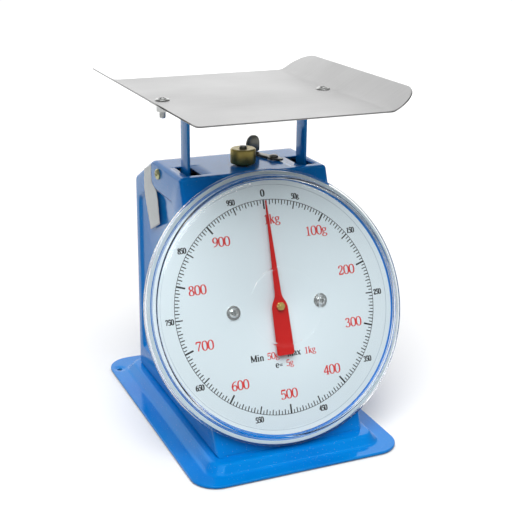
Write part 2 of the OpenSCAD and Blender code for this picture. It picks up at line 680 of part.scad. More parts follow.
module spring_yoke() color([0.7, 0.72, 0.74]) difference() {
    union() {
        translate([-20, -3.5, 184]) cube([40, 13, 2]);
        for (y = [-3.5, 7.5]) translate([-20, y, 172]) cube([40, 2, 14]);
        for (s = [-1, 1]) translate([s * spring_x, -3.5, spring_top]) rotate([-90, 0, 0]) cylinder(h = 13, r = 1.5);
    }
    translate([0, top_y, 170]) cylinder(h = 30, r = bolt_r);
}

// ---- rebound catch ----
arm_len = 24;
arm_a = 112;
dog_a = 36;
catch_z = body_top + 0.65;

module catch_washer() color([0.7, 0.7, 0.72]) translate([catch_x, catch_y, body_top]) difference() {
    cylinder(h = 0.6, r = 5);
    translate([0, 0, -1]) cylinder(h = 4, r = 2.3);
}

module catch_lever() color([0.55, 0.56, 0.55]) translate([catch_x, catch_y, catch_z]) rotate([0, 0, arm_a]) difference() {
    union() {
        cylinder(h = 1.5, r = 4.5);
        translate([-9, -3, 0]) cube([arm_len + 9, 6, 1.5]);
        translate([arm_len - 1.5, -7, 0]) cube([1.5, 14, 8.05]);
        translate([arm_len - 1.5, 0, 8.05]) rotate([0, 90, 0]) cylinder(h = 1.5, r = 7);
    }
    translate([0, 0, -1]) cylinder(h = 5, r = 2);
}

module catch_shaft() color([0.3, 0.3, 0.32]) translate([catch_x, catch_y, 0]) {
    translate([0, 0, 188.6]) cylinder(h = catch_z + 1.5 - 188.6, r = 2);
    translate([0, 0, catch_z + 1.5 - e]) rotate_extrude() polygon([[0, 0], [3.6, 0], [3.2, 1.2], [1.8, 2], [0, 2]]);
}

module catch_dog() color([0.7, 0.72, 0.74]) translate([catch_x, catch_y, 190.6]) rotate([0, 0, dog_a]) difference() {
    union() {
        cylinder(h = 2, r = 4);
        translate([0, -3, 0]) cube([12.5, 6, 2]);
        translate([12.5, 0, 0]) cylinder(h = 2, r = 3);
    }
    translate([0, 0, -1]) cylinder(h = 5, r = 2.01);
}
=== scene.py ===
"""Looks of a dial platform scale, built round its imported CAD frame.

Laid out as an add-on: property groups hold the sizes and colours that a user would change, one operator
makes each group of pieces, and a panel lists them. Shapes are worked out in millimetres as numpy grids,
and are written to meshes in metres.
"""

import json
from math import cos, pi, radians, sin, sqrt, tan

import bmesh
import bpy
import numpy as np
from bpy.props import FloatProperty, FloatVectorProperty, IntProperty, PointerProperty
from mathutils import Matrix, Vector


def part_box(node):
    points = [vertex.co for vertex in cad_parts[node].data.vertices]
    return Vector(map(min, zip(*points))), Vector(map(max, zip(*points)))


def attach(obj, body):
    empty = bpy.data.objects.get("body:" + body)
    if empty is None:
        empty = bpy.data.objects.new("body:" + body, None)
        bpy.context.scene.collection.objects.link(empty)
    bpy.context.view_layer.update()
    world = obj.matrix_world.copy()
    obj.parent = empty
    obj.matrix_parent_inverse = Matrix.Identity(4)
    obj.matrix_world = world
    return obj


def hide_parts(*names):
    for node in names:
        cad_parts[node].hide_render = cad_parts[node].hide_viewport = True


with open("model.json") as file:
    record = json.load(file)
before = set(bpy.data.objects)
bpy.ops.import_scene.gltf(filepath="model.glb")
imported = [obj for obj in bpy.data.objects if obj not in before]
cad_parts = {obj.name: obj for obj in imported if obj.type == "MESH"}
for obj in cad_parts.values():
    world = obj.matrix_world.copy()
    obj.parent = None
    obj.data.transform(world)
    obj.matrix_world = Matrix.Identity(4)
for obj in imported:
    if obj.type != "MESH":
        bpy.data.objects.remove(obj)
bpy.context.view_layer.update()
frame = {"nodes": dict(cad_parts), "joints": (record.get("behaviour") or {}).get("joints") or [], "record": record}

bl_info = {
    "name": "Dial platform scale",
    "version": (1, 0, 0),
    "blender": (4, 5, 0),
    "location": "View3D > Sidebar > Scale",
    "description": "Builds the painted, pressed and printed surfaces of a dial platform scale",
    "category": "Mesh",
}

MM = 0.001
MIRROR_X = np.array([-1.0, 1.0, 1.0])


def box_mm(node):
    """Lowest and highest corner of a CAD node, in millimetres."""
    low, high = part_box(node)
    return np.array(low) / MM, np.array(high) / MM


def joint(name):
    return next(j for j in frame["joints"] if j["name"] == name)


class Place:
    """A local frame: a point's local (x, y, z) times the three axes, added to the origin."""

    def __init__(self, origin=(0, 0, 0), x=(1, 0, 0), y=(0, 1, 0), z=(0, 0, 1)):
        self.origin = np.array(origin, float)
        self.axes = np.array([x, y, z], float)

    def __call__(self, points):
        return self.origin + np.asarray(points, float) @ self.axes

    def at(self, x, y, z=0.0):
        """The same axes about another local point."""
        return Place(self((x, y, z)), *self.axes)


REARWARD = (-1, 0, 0), (0, 0, 1), (0, 1, 0)
GROUND = Place()
_needle = joint("needle_turn")
_out = -np.array(_needle["axis"])
_out /= np.linalg.norm(_out)
DIAL = Place(np.array(_needle["pos_m"]) / MM, (1, 0, 0), (0, _out[2], -_out[1]), _out)


# ---- sizes and colours ----


def length(name, default, description):
    return FloatProperty(
        name=name, default=default * MM, description=description, unit="LENGTH", subtype="DISTANCE"
    )


def colour(name, default, description):
    return FloatVectorProperty(
        name=name, default=default, description=description, subtype="COLOR", size=3, min=0, max=1
    )


class DialScaleSizes(bpy.types.PropertyGroup):
    sheet: length("Sheet", 1.2, "Thickness of the painted sheet steel")
    press_radius: length("Press radius", 2.4, "Radius of the base's pressed bends")
    side_bend: length("Side bend", 3.0, "Outer radius where the housing's sheet turns to its sides")
    recess_slope: length("Recess slope", 3.6, "Width of the sloping wall round each pressed side panel")
    tick_circle: length("Tick circle", 80.0, "Radius of the line that the graduations hang from")
    fine_tick: length("Fine tick", 2.8, "Length of a 5 g graduation")
    red_figure: length("Red figures", 7.1, "Height of the 100 g figures")
    black_figure: length("Black figures", 4.1, "Height of the 50 g figures")
    pointer_rim: length("Pointer rim", 1.1, "Width of the pointer's raised edge")
    lens_wall: length("Lens wall", 1.4, "Thickness of the clear lens")
    tape_ripple: length("Tape ripple", 0.11, "Height of the wrinkles in the tape")
    dial_divisions: IntProperty(
        name="Divisions", default=200, min=20, description="Graduations in one turn of the dial"
    )


class DialScaleColours(bpy.types.PropertyGroup):
    enamel: colour("Enamel", (0.0005, 0.225, 0.66), "Blue enamel")
    enamel_deep: colour("Deep enamel", (0.0005, 0.165, 0.58), "Enamel where the coat is thick")
    steel: colour("Stainless", (0.53, 0.53, 0.53), "Satin tray sheet")
    zinc: colour("Zinc", (0.62, 0.63, 0.62), "Bright zinc plate")
    # Painted shade: this brass is darkened well below bare brass, so the zero knob reads as shaded; the hub takes
    # a lighter copy.
    brass: colour("Brass", (0.30, 0.24, 0.075), "Turned brass")
    face: colour("Dial face", (0.84, 0.91, 0.94), "White dial enamel")
    red: colour("Red", (0.62, 0.006, 0.005), "Pointer paint")
    red_ink: colour("Red ink", (0.74, 0.035, 0.03), "Red print")
    black_ink: colour("Black ink", (0.008, 0.008, 0.009), "Black print")
    tape: colour("Tape", (0.60, 0.65, 0.66), "Aged adhesive tape")


def sizes_mm(context):
    """The size group's lengths in millimetres, by name."""
    group = context.scene.dial_scale_sizes
    skipped = ("rna_type", "name", "dial_divisions")
    return {p.identifier: getattr(group, p.identifier) / MM for p in group.bl_rna.properties
            if p.identifier not in skipped}


# ---- numpy shapes: each returns (points, faces) in millimetres ----


def soften(outline, cut, steps=5):
    """Closed outline with rounded corners: a circular arc leaves and meets the two edges `cut` from each
    corner."""
    p = np.asarray(outline, float)
    before, after = np.roll(p, 1, 0) - p, np.roll(p, -1, 0) - p
    far_b = np.linalg.norm(before, axis=1, keepdims=True)
    far_a = np.linalg.norm(after, axis=1, keepdims=True)
    reach = np.minimum(np.resize(np.asarray(cut, float), len(p))[:, None], 0.49 * np.minimum(far_a, far_b))
    before, after = before / far_b, after / far_a
    cosine = np.clip((before * after).sum(1, keepdims=True), -1, 1)
    w = np.sqrt((1 - cosine) / 2)[:, :, None]
    t = np.linspace(0, 1, steps + 1)[None, :, None]
    start, end, mid = (p + before * reach)[:, None], (p + after * reach)[:, None], p[:, None]
    rounded = (1 - t) ** 2 * start + 2 * w * t * (1 - t) * mid + t**2 * end
    return (rounded / ((1 - t) ** 2 + 2 * w * t * (1 - t) + t**2)).reshape(-1, p.shape[1])


def soften_path(path, cut, steps=5):
    """Open path with its inner corners rounded as soften does; its two ends stay."""
    cuts = np.resize(np.asarray(cut, float), len(path))
    cuts[[0, -1]] = 0
    return soften(path, cuts, steps)[steps : len(path) * (steps + 1) - steps]


def divided(path, longest):
    """Open path with points added, so that no piece of it is longer than `longest`."""
    path = np.asarray(path, float)
    far = np.r_[0, np.cumsum(np.linalg.norm(np.diff(path, axis=0), axis=1))]
    stops = np.unique(np.r_[far, np.arange(0, far[-1], longest)].round(3))
    stops = stops[np.r_[True, np.diff(stops) > 0.02]]
    return np.stack([np.interp(stops, far, column) for column in path.T], 1)


def drawn_in(outline, distance):
    """Closed anticlockwise outline moved inwards, each corner along the mitre of its two edges."""
    p = np.asarray(outline, float)
    edge = np.roll(p, -1, 0) - p
    edge /= np.maximum(np.linalg.norm(edge, axis=1, keepdims=True), 1e-9)
    inward = np.stack([-edge[:, 1], edge[:, 0]], 1)
    back = np.roll(inward, 1, 0)
    return p + distance * (inward + back) / (1 + (inward * back).sum(1, keepdims=True))


def quads(rows, columns, wrap_rows=False, wrap_columns=False):
    """Four-sided faces between neighbouring points of a rows by columns grid."""
    i = np.arange(rows if wrap_rows else rows - 1)[:, None]
    j = np.arange(columns if wrap_columns else columns - 1)[None]
    after_i, after_j = (i + 1) % rows, (j + 1) % columns
    corners = [i * columns + j, i * columns + after_j, after_i * columns + after_j, after_i * columns + j]
    return np.stack(corners, -1).reshape(-1, 4).tolist()


def ring_caps(rows, columns):
    """One flat face on the first ring of a grid and one on its last."""
    return [list(range(columns))[::-1], list(range((rows - 1) * columns, rows * columns))]


def capped(rings):
    """A stack of equal rings joined one to the next, with a flat face on the first and on the last."""
    grid = np.asarray(rings)
    rows, columns = grid.shape[:2]
    return grid.reshape(-1, 3), quads(rows, columns, False, True) + ring_caps(rows, columns)


def joined(*shapes):
    """Several shapes as one, with the faces of each counted on from the points before it."""
    points, faces, count = [], [], 0
    for p, f in shapes:
        points.append(p)
        faces += [[k + count for k in face] for face in f]
        count += len(p)
    return np.concatenate(points), faces


def placed(shape, place):
    return place(shape[0]), shape[1]


def mirrored(shape):
    """The shape with its left-right mirror image beside it."""
    return joined(shape, (shape[0] * MIRROR_X, [face[::-1] for face in shape[1]]))


def turned(profile, segments=96):
    """A (radius, height) profile turned about z: a grid of angle by place on the profile. The profile closes
    on itself unless both its ends are on the axis."""
    profile = np.asarray(profile, float)
    a = np.linspace(0, 2 * pi, segments, endpoint=False)[:, None]
    r, h = profile.T
    points = np.stack([r * np.cos(a), r * np.sin(a), h + 0 * a], -1).reshape(-1, 3)
    on_axis = r[0] < 1e-9 and r[-1] < 1e-9
    return points, quads(segments, len(profile), True, not on_axis)


def plate(outline, low, high, edge=0.3, steps=3):
    """Flat solid from an anticlockwise outline: rings climb from low to high, drawn in by a quarter circle at
    each face, and a flat face closes each end."""
    q = np.linspace(0, pi / 2, steps + 1)
    inset = np.r_[edge * (1 - np.sin(q)), edge * (1 - np.cos(q))]
    height = np.r_[low + edge * (1 - np.cos(q)), high - edge * (1 - np.sin(q))]
    rings = [np.c_[drawn_in(outline, i), np.full(len(outline), h)] for i, h in zip(inset, height)]
    return capped(rings)


def swept(section, path, up):
    """A closed (across, above) section carried along an open path: `up` and the path's own direction set
    its turn."""
    path, section = np.asarray(path, float), np.asarray(section, float)
    along = np.gradient(path, axis=0)
    along /= np.linalg.norm(along, axis=1, keepdims=True)
    side = np.cross(along, np.asarray(up, float))
    side /= np.linalg.norm(side, axis=1, keepdims=True)
    above = np.cross(side, along)
    return capped(path[:, None] + section[:, :1] * side[:, None] + section[:, 1:] * above[:, None])


def rectangle(width, depth, cut=0.0, steps=5):
    """Anticlockwise rectangle about the origin, its corners rounded."""
    w, d = width / 2, depth / 2
    outline = np.array([[-w, -d], [w, -d], [w, d], [-w, d]], float)
    return soften(outline, cut, steps) if cut else outline


def circle(radius, count, turn=0.0):
    a = turn + np.linspace(0, 2 * pi, count, endpoint=False)
    return radius * np.stack([np.cos(a), np.sin(a)], 1)


def corner_rings(stations, steps=14, along=()):
    """Rounded rectangles, one for each (half width, half depth, corner radius, height, middle y) station.
    Each corner is a quarter circle about its own centre; `along` puts more points on the straight sides."""
    hw, hd, r, z, cy = np.asarray(stations, float).T[:, :, None, None]
    a = np.arange(4)[:, None] * pi / 2 + np.linspace(0, pi / 2, steps + 1)
    sx, sy = np.array([1, -1, -1, 1])[:, None], np.array([1, 1, -1, -1])[:, None]
    x = sx * (hw - r) + r * np.cos(a)
    y = cy + sy * (hd - r) + r * np.sin(a)
    rings = np.stack([x, y, z + 0 * x], -1)
    if len(along):
        last, first = rings[:, :, -1:], np.roll(rings[:, :, :1], -1, 1)
        share = np.asarray(along, float)[None, None, :, None]
        rings = np.concatenate([rings, last + share * (first - last)], 2)
    return rings.reshape(len(rings), -1, 3)


def ray_radius(outline, centre, angles):
    """How far a closed outline is from a centre inside it, in each direction: each ray is cut by every edge,
    and the nearest cut within an edge counts."""
    a = np.asarray(outline, float) - centre
    e = np.roll(a, -1, 0) - a
    d = np.stack([np.cos(angles), np.sin(angles)], 1)
    cross_de = d[:, :1] * e[None, :, 1] - d[:, 1:] * e[None, :, 0]
    cross_de = np.where(np.abs(cross_de) < 1e-12, 1e-12, cross_de)
    far = (a[:, 0] * e[:, 1] - a[:, 1] * e[:, 0])[None] / cross_de
    share = (a[None, :, 0] * d[:, 1:] - a[None, :, 1] * d[:, :1]) / cross_de
    good = (share > -1e-6) & (share < 1 + 1e-6) & (far > 0)
    return np.where(good, far, 1e9).min(1)


def smooth_step(t):
    t = np.clip(t, 0, 1)
    return t * t * (3 - 2 * t)


# ---- from shapes to Blender pieces ----


def add_piece(name, shape, body, material, replaced=(), angle=32.0, solid=0.0, open_up=None):
    """Writes a shape to a mesh object in metres, joins its seams and poles, points its faces outwards and
    gives it its body, slot and material. A closed shape is turned by Blender; an open one by `open_up`, a
    direction or a middle point that its outer faces look along or away from, before its wall is added."""
    points, faces = shape
    mesh = bpy.data.meshes.new(name)
    mesh.from_pydata((np.asarray(points) * MM).tolist(), [], faces)
    work = bmesh.new()
    work.from_mesh(mesh)
    bmesh.ops.remove_doubles(work, verts=work.verts, dist=2e-6)
    if open_up is None:
        bmesh.ops.recalc_face_normals(work, faces=work.faces)
    work.to_mesh(mesh)
    work.free()
    if open_up is not None:
        kind, vector = open_up
        count = len(mesh.polygons)
        normal, middle, area = np.zeros(count * 3), np.zeros(count * 3), np.zeros(count)
        mesh.polygons.foreach_get("normal", normal)
        mesh.polygons.foreach_get("center", middle)
        mesh.polygons.foreach_get("area", area)
        normal, middle = normal.reshape(-1, 3), middle.reshape(-1, 3)
        outward = middle - np.array(vector) * MM if kind == "from" else np.array(vector, float)[None]
        if ((normal * outward).sum(1) * area).sum() < 0:
            mesh.flip_normals()
    mesh.shade_smooth()
    mesh.set_sharp_from_angle(angle=radians(angle))
    mesh.materials.append(material)
    piece = bpy.data.objects.new(name, mesh)
    bpy.context.scene.collection.objects.link(piece)
    if solid:
        wall = piece.modifiers.new("wall", "SOLIDIFY")
        wall.thickness = solid * MM
        wall.offset = -1
        wall.use_even_offset = True
    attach(piece, body)
    if replaced:
        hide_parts(*replaced)
    return piece


def cut_with(piece, cutter):
    """Cuts a closed shape out of a piece and keeps the cut mesh in place of its modifiers."""
    points, faces = cutter
    mesh = bpy.data.meshes.new("cutter")
    mesh.from_pydata((np.asarray(points) * MM).tolist(), [], faces)
    work = bmesh.new()
    work.from_mesh(mesh)
    bmesh.ops.remove_doubles(work, verts=work.verts, dist=2e-6)
    bmesh.ops.recalc_face_normals(work, faces=work.faces)
    work.to_mesh(mesh)
    work.free()
    tool = bpy.data.objects.new("cutter", mesh)
    bpy.context.scene.collection.objects.link(tool)
    cut = piece.modifiers.new("cut", "BOOLEAN")
    cut.operation = "DIFFERENCE"
    cut.solver = "EXACT"
    cut.object = tool
    depsgraph = bpy.context.evaluated_depsgraph_get()
    finished = bpy.data.meshes.new_from_object(piece.evaluated_get(depsgraph))
    piece.modifiers.clear()
    piece.data = finished
    bpy.data.objects.remove(tool)
    finished.shade_smooth()
    finished.set_sharp_from_angle(angle=radians(32))
    return piece


# ---- materials ----


def add_node(tree, kind, **settings):
    """Adds a shader node; a setting named after an input socket (with _ for space) sets its value."""
    node = tree.nodes.new("ShaderNode" + kind)
    for key, value in settings.items():
        socket = node.inputs.get(key.replace("_", " "))
        if hasattr(node, key):
            setattr(node, key, value)
        elif socket is not None:
            socket.default_value = value
        else:
            raise ValueError(f"{kind} has no setting {key}")
    return node


def node_group(name, inputs, outputs):
    """A shader node group with named float, vector or colour sockets; returns (tree, input
    node, output node)."""
    tree = bpy.data.node_groups.new(name, "ShaderNodeTree")
    for label, kind, value in inputs:
        socket = tree.interface.new_socket(label, in_out="INPUT", socket_type=kind)
        if value is not None:
            socket.default_value = value
    for label, kind in outputs:
        tree.interface.new_socket(label, in_out="OUTPUT", socket_type=kind)
    return tree, tree.nodes.new("NodeGroupInput"), tree.nodes.new("NodeGroupOutput")


FLOAT, VECTOR, COLOUR = "NodeSocketFloat", "NodeSocketVector", "NodeSocketColor"


def speckle_group():
    """Wide and fine noise: `Wide` drifts slowly, `Fine` is grain, and `Specks` is a mask of scattered
    dust."""
    tree, enter, leave = node_group(
        "Scale drift and dust",
        [
            ("Position", VECTOR, None),
            ("Wide size", FLOAT, 14.0),
            ("Fine size", FLOAT, 900.0),
            ("Dust", FLOAT, 0.5),
        ],
        [("Wide", FLOAT), ("Fine", FLOAT), ("Specks", FLOAT)],
    )
    links = tree.links
    wide = add_node(tree, "TexNoise", Detail=3.0, Roughness=0.55)
    fine = add_node(tree, "TexNoise", Detail=2.0, Roughness=0.6)
    dust = add_node(tree, "TexVoronoi", Randomness=1.0, Scale=420.0)
    near = add_node(tree, "MapRange", interpolation_type="SMOOTHSTEP")
    near.inputs["From Min"].default_value = 0.16
    near.inputs["From Max"].default_value = 0.05
    some = add_node(tree, "Math", operation="MULTIPLY")
    links.new(enter.outputs["Position"], wide.inputs["Vector"])
    links.new(enter.outputs["Position"], fine.inputs["Vector"])
    links.new(enter.outputs["Position"], dust.inputs["Vector"])
    links.new(enter.outputs["Wide size"], wide.inputs["Scale"])
    links.new(enter.outputs["Fine size"], fine.inputs["Scale"])
    links.new(dust.outputs["Distance"], near.inputs["Value"])
    links.new(near.outputs["Result"], some.inputs[0])
    links.new(enter.outputs["Dust"], some.inputs[1])
    links.new(wide.outputs["Fac"], leave.inputs["Wide"])
    links.new(fine.outputs["Fac"], leave.inputs["Fine"])
    links.new(some.outputs[0], leave.inputs["Specks"])
    return tree


def grain_group():
    """Long streaks of a rolled or brushed sheet: noise on coordinates stretched by `Stretch`."""
    tree, enter, leave = node_group(
        "Scale rolled grain",
        [("Position", VECTOR, None), ("Stretch", VECTOR, (1.0, 60.0, 60.0)), ("Size", FLOAT, 30.0)],
        [("Streaks", FLOAT)],
    )
    links = tree.links
    stretch = add_node(tree, "VectorMath", operation="MULTIPLY")
    noise = add_node(tree, "TexNoise", Detail=4.0, Roughness=0.65)
    links.new(enter.outputs["Position"], stretch.inputs[0])
    links.new(enter.outputs["Stretch"], stretch.inputs[1])
    links.new(stretch.outputs[0], noise.inputs["Vector"])
    links.new(enter.outputs["Size"], noise.inputs["Scale"])
    links.new(noise.outputs["Fac"], leave.inputs["Streaks"])
    return tree


GROUPS = {}
MATERIALS = {}


def new_material(name, **shader):
    """A node material with a Principled shader, its constant values set on the shader's own sockets, and
    Object coordinates; returns (material, tree, shader, position socket)."""
    material = bpy.data.materials.new(name)
    material.use_nodes = True
    tree = material.node_tree
    principled = tree.nodes["Principled BSDF"]
    for key, value in shader.items():
        principled.inputs[key.replace("_", " ")].default_value = value
    position = add_node(tree, "TexCoord").outputs["Object"]
    MATERIALS[name] = material
    return material, tree, principled, position


def use_group(tree, key, position, **values):
    node = tree.nodes.new("ShaderNodeGroup")
    node.node_tree = GROUPS[key]
    tree.links.new(position, node.inputs["Position"])
    for label, value in values.items():
        node.inputs[label.replace("_", " ")].default_value = value
    return node


def ranged(tree, source, low, high, start=0.0, end=1.0):
    """A value socket mapped from start..end to low..high."""
    node = add_node(tree, "MapRange")
    for label, value in (("From Min", start), ("From Max", end), ("To Min", low), ("To Max", high)):
        node.inputs[label].default_value = value
    tree.links.new(source, node.inputs["Value"])
    return node.outputs["Result"]


def blended(tree, factor, first, second):
    """Colour that goes from first to second with factor; a colour may be a tuple or a socket."""
    node = add_node(tree, "Mix", data_type="RGBA")
    tree.links.new(factor, node.inputs["Factor"])
    for label, value in (("A", first), ("B", second)):
        socket = [s for s in node.inputs if s.name == label and s.type == "RGBA"][0]
        if isinstance(value, bpy.types.NodeSocket):
            tree.links.new(value, socket)
        else:
            socket.default_value = (*value, 1.0)
    return [s for s in node.outputs if s.type == "RGBA"][0]


def bumped(tree, principled, height, distance, strength=1.0):
    bump = add_node(tree, "Bump", Strength=strength, Distance=distance * MM)
    tree.links.new(height, bump.inputs["Height"])
    tree.links.new(bump.outputs["Normal"], principled.inputs["Normal"])


def darker(shade, share):
    return tuple(share * c for c in shade)


def enamel_material(name, shade, deep):
    """Glossy stoved enamel: colour drifts with the coat's thickness, with orange peel and a little dust."""
    _, tree, shader, position = new_material(
        name, Roughness=0.1, IOR=1.5, Specular_IOR_Level=0.4, Specular_Tint=(0.3, 0.75, 1.0, 1.0)
    )
    drift = use_group(tree, "drift", position, Wide_size=16.0, Fine_size=260.0, Dust=0.35)
    coat = blended(tree, ranged(tree, drift.outputs["Wide"], 0.0, 1.0, 0.25, 0.75), shade, deep)
    dusty = blended(tree, drift.outputs["Specks"], coat, (0.35, 0.45, 0.60))
    tree.links.new(dusty, shader.inputs["Base Color"])
    tree.links.new(ranged(tree, drift.outputs["Wide"], 0.07, 0.2, 0.3, 0.8), shader.inputs["Roughness"])
    bumped(tree, shader, drift.outputs["Fine"], 0.012)


def steel_material(name, shade, stretch, roughness, depth):
    """Rolled or brushed metal: streaks change its colour, roughness and height a little."""
    _, tree, shader, position = new_material(name, Metallic=1.0, Roughness=roughness[0])
    grain = use_group(tree, "grain", position, Stretch=stretch, Size=26.0)
    drift = use_group(tree, "drift", position, Wide_size=9.0, Fine_size=700.0, Dust=0.3)
    streaked = blended(tree, grain.outputs["Streaks"], darker(shade, 0.86), darker(shade, 1.08))
    dusty = blended(tree, drift.outputs["Specks"], streaked, darker(shade, 0.7))
    tree.links.new(dusty, shader.inputs["Base Color"])
    tree.links.new(ranged(tree, drift.outputs["Wide"], *roughness, 0.3, 0.7), shader.inputs["Roughness"])
    bumped(tree, shader, grain.outputs["Streaks"], depth)


def plain_material(name, shade, roughness, depth=0.01, fine=500.0, mottled=0.9, **constants):
    """Paint, ink, rubber or plate: a mottled colour with its own roughness and a fine bump."""
    _, tree, shader, position = new_material(name, Roughness=roughness[0], **constants)
    drift = use_group(tree, "drift", position, Wide_size=22.0, Fine_size=fine, Dust=0.25)
    mottle = blended(tree, drift.outputs["Wide"], darker(shade, mottled), shade)
    tree.links.new(mottle, shader.inputs["Base Color"])
    tree.links.new(ranged(tree, drift.outputs["Wide"], *roughness, 0.3, 0.7), shader.inputs["Roughness"])
    bumped(tree, shader, drift.outputs["Fine"], depth)
    return tree, shader, drift


def dial_face_material(shade):
    """White enamel dial: a faint drift of tone, tiny specks and a smooth satin coat."""
    _, tree, shader, position = new_material("dial_white", Roughness=0.35, Coat_Weight=0.25)
    drift = use_group(tree, "drift", position, Wide_size=11.0, Fine_size=420.0, Dust=0.12)
    tone = blended(tree, drift.outputs["Wide"], darker(shade, 0.97), shade)
    specked = blended(tree, drift.outputs["Specks"], tone, darker(shade, 0.8))
    tree.links.new(specked, shader.inputs["Base Color"])
    tree.links.new(ranged(tree, drift.outputs["Wide"], 0.3, 0.42, 0.3, 0.7), shader.inputs["Roughness"])
    bumped(tree, shader, drift.outputs["Fine"], 0.004)


def lens_material():
    """Clear moulded plastic that lets lamp light through; handling has left it faintly hazed and rippled."""
    material, tree, shader, position = new_material(
        "clear_lens", Roughness=0.02, IOR=1.46, Transmission_Weight=1.0, Base_Color=(0.95, 0.98, 0.99, 1.0)
    )
    drift = use_group(tree, "drift", position, Wide_size=12.0, Fine_size=40.0, Dust=0.0)
    tree.links.new(ranged(tree, drift.outputs["Wide"], 0.0, 0.05, 0.35, 0.75), shader.inputs["Roughness"])
    bumped(tree, shader, drift.outputs["Fine"], 0.02)
    light = add_node(tree, "LightPath")
    clear = add_node(tree, "BsdfTransparent", Color=(0.95, 0.97, 0.98, 1.0))
    surface = shader.outputs["BSDF"]
    for ray in ("Is Diffuse Ray", "Is Shadow Ray"):
        mix = add_node(tree, "MixShader")
        tree.links.new(light.outputs[ray], mix.inputs["Fac"])
        tree.links.new(surface, mix.inputs[1])
        tree.links.new(clear.outputs["BSDF"], mix.inputs[2])
        surface = mix.outputs["Shader"]
    tree.links.new(surface, tree.nodes["Material Output"].inputs["Surface"])
    return material


def tape_material(shade):
    """Yellowed tape: cloudy where glue has crept, with a few dark specks."""
    _, tree, shader, position = new_material("tape", Roughness=0.45, Coat_Weight=0.2)
    drift = use_group(tree, "drift", position, Wide_size=70.0, Fine_size=300.0, Dust=0.6)
    cloudy = blended(tree, drift.outputs["Wide"], darker(shade, 0.8), (0.74, 0.78, 0.78))
    specked = blended(tree, drift.outputs["Specks"], cloudy, darker(shade, 0.55))
    tree.links.new(specked, shader.inputs["Base Color"])
    tree.links.new(ranged(tree, drift.outputs["Wide"], 0.3, 0.6, 0.3, 0.7), shader.inputs["Roughness"])
    bumped(tree, shader, drift.outputs["Fine"], 0.03)


class DIALSCALE_OT_materials(bpy.types.Operator):
    """Makes every finish and gives the CAD nodes theirs"""

    bl_idname = "dial_scale.materials"
    bl_label = "Finishes"

    def execute(self, context):
        c = context.scene.dial_scale_colours
        GROUPS["drift"], GROUPS["grain"] = speckle_group(), grain_group()
        enamel_material("blue_paint", tuple(c.enamel), tuple(c.enamel_deep))
        steel_material("tray_steel", tuple(c.steel), (1.0, 40.0, 1.0), (0.34, 0.46), 0.006)
        steel_material("zinc_steel", tuple(c.zinc), (1.0, 6.0, 1.0), (0.2, 0.36), 0.006)
        steel_material("spring_steel", darker(tuple(c.zinc), 0.8), (6.0, 6.0, 1.0), (0.25, 0.4), 0.004)
        # Painted shade: the darkened brass stands in for the shade on the zero knob.
        steel_material("brass", tuple(c.brass), (1.0, 1.0, 30.0), (0.22, 0.36), 0.008)
        steel_material("cut_edge", darker(tuple(c.steel), 0.5), (30.0, 1.0, 1.0), (0.3, 0.45), 0.006)
        steel_material("blackened_steel", (0.17, 0.17, 0.145), (4.0, 1.0, 1.0), (0.25, 0.4), 0.006)
        steel_material("yellow_zinc", (0.42, 0.42, 0.24), (1.0, 6.0, 1.0), (0.2, 0.36), 0.006)
        plain_material(
            "pointer_red", tuple(c.red), (0.3, 0.42), depth=0.006, mottled=0.92, Specular_IOR_Level=0.12
        )
        # Painted highlight: a lighter, half-metallic copy of the brass, so the hub nut and shaft end look as
        # bright as lit brass.
        plain_material("brass_painted_highlight", (0.62, 0.44, 0.12), (0.3, 0.42), depth=0.004, Metallic=0.5)
        plain_material("red_ink", tuple(c.red_ink), (0.5, 0.6), depth=0.002)
        plain_material("black_ink", tuple(c.black_ink), (0.5, 0.6), depth=0.002)
        plain_material("seal", (0.62, 0.70, 0.75), (0.5, 0.65), depth=0.02)
        plain_material("pale_ink", (0.45, 0.52, 0.58), (0.5, 0.6), depth=0.002)
        plain_material("rubber", (0.02, 0.02, 0.021), (0.7, 0.85), depth=0.03, fine=900.0)
        dial_face_material(tuple(c.face))
        lens_material()
        tape_material(tuple(c.tape))
        for part in frame["record"]["subparts"]:
            mesh = frame["nodes"][part["node"]].data
            mesh.materials.clear()
            mesh.materials.append(MATERIALS[part["material_slot"]])
        return {"FINISHED"}


# ---- base and housing ----


REAR_HOLE = 76.0, 98.0
FOOT_X, FOOT_Y = 70, 107


def base_shape(s):
    """Pressed base: rounded rectangles that go up the lip, in along the flange, up the step and over the
    plateau, rounded at each bend; a dimple round each rear hole lowers the flange by a smooth bowl."""
    low, high = box_mm("base_plate")
    half_w, half_d, top = high
    lip, flange, r = low[2] + 0.6, 3.0, s["press_radius"]
    corner, back = 20, -2.5
    stations = soften_path(
        [
            (half_w, half_d, corner, lip, 0),
            (half_w, half_d, corner, flange, 0),
            (70.2, 105.7, 13, flange, back),
            (65.2, 100.7, 10, top, back),
            (30, 60, 6, top, back),
        ],
        [0, 1.7, r, r, 0],
        6,
    )
    near = np.linspace(0.008, 0.072, 9)
    along = np.r_[near, np.linspace(0.1, 0.9, 9), 1 - near[::-1]]
    grid = corner_rings(divided(stations, 1.5), 16, along)
    rim, slope, deep = 5.6, 3.4, 0.9
    far = np.hypot(np.abs(grid[..., 0]) - REAR_HOLE[0], grid[..., 1] - REAR_HOLE[1])
    bowl = smooth_step((rim - far) / slope)
    grid[..., 2] -= np.where(far < rim, deep * bowl, 0)
    rows, columns = grid.shape[:2]
    return grid.reshape(-1, 3), quads(rows, columns, False, True) + ring_caps(rows, columns)[1:]


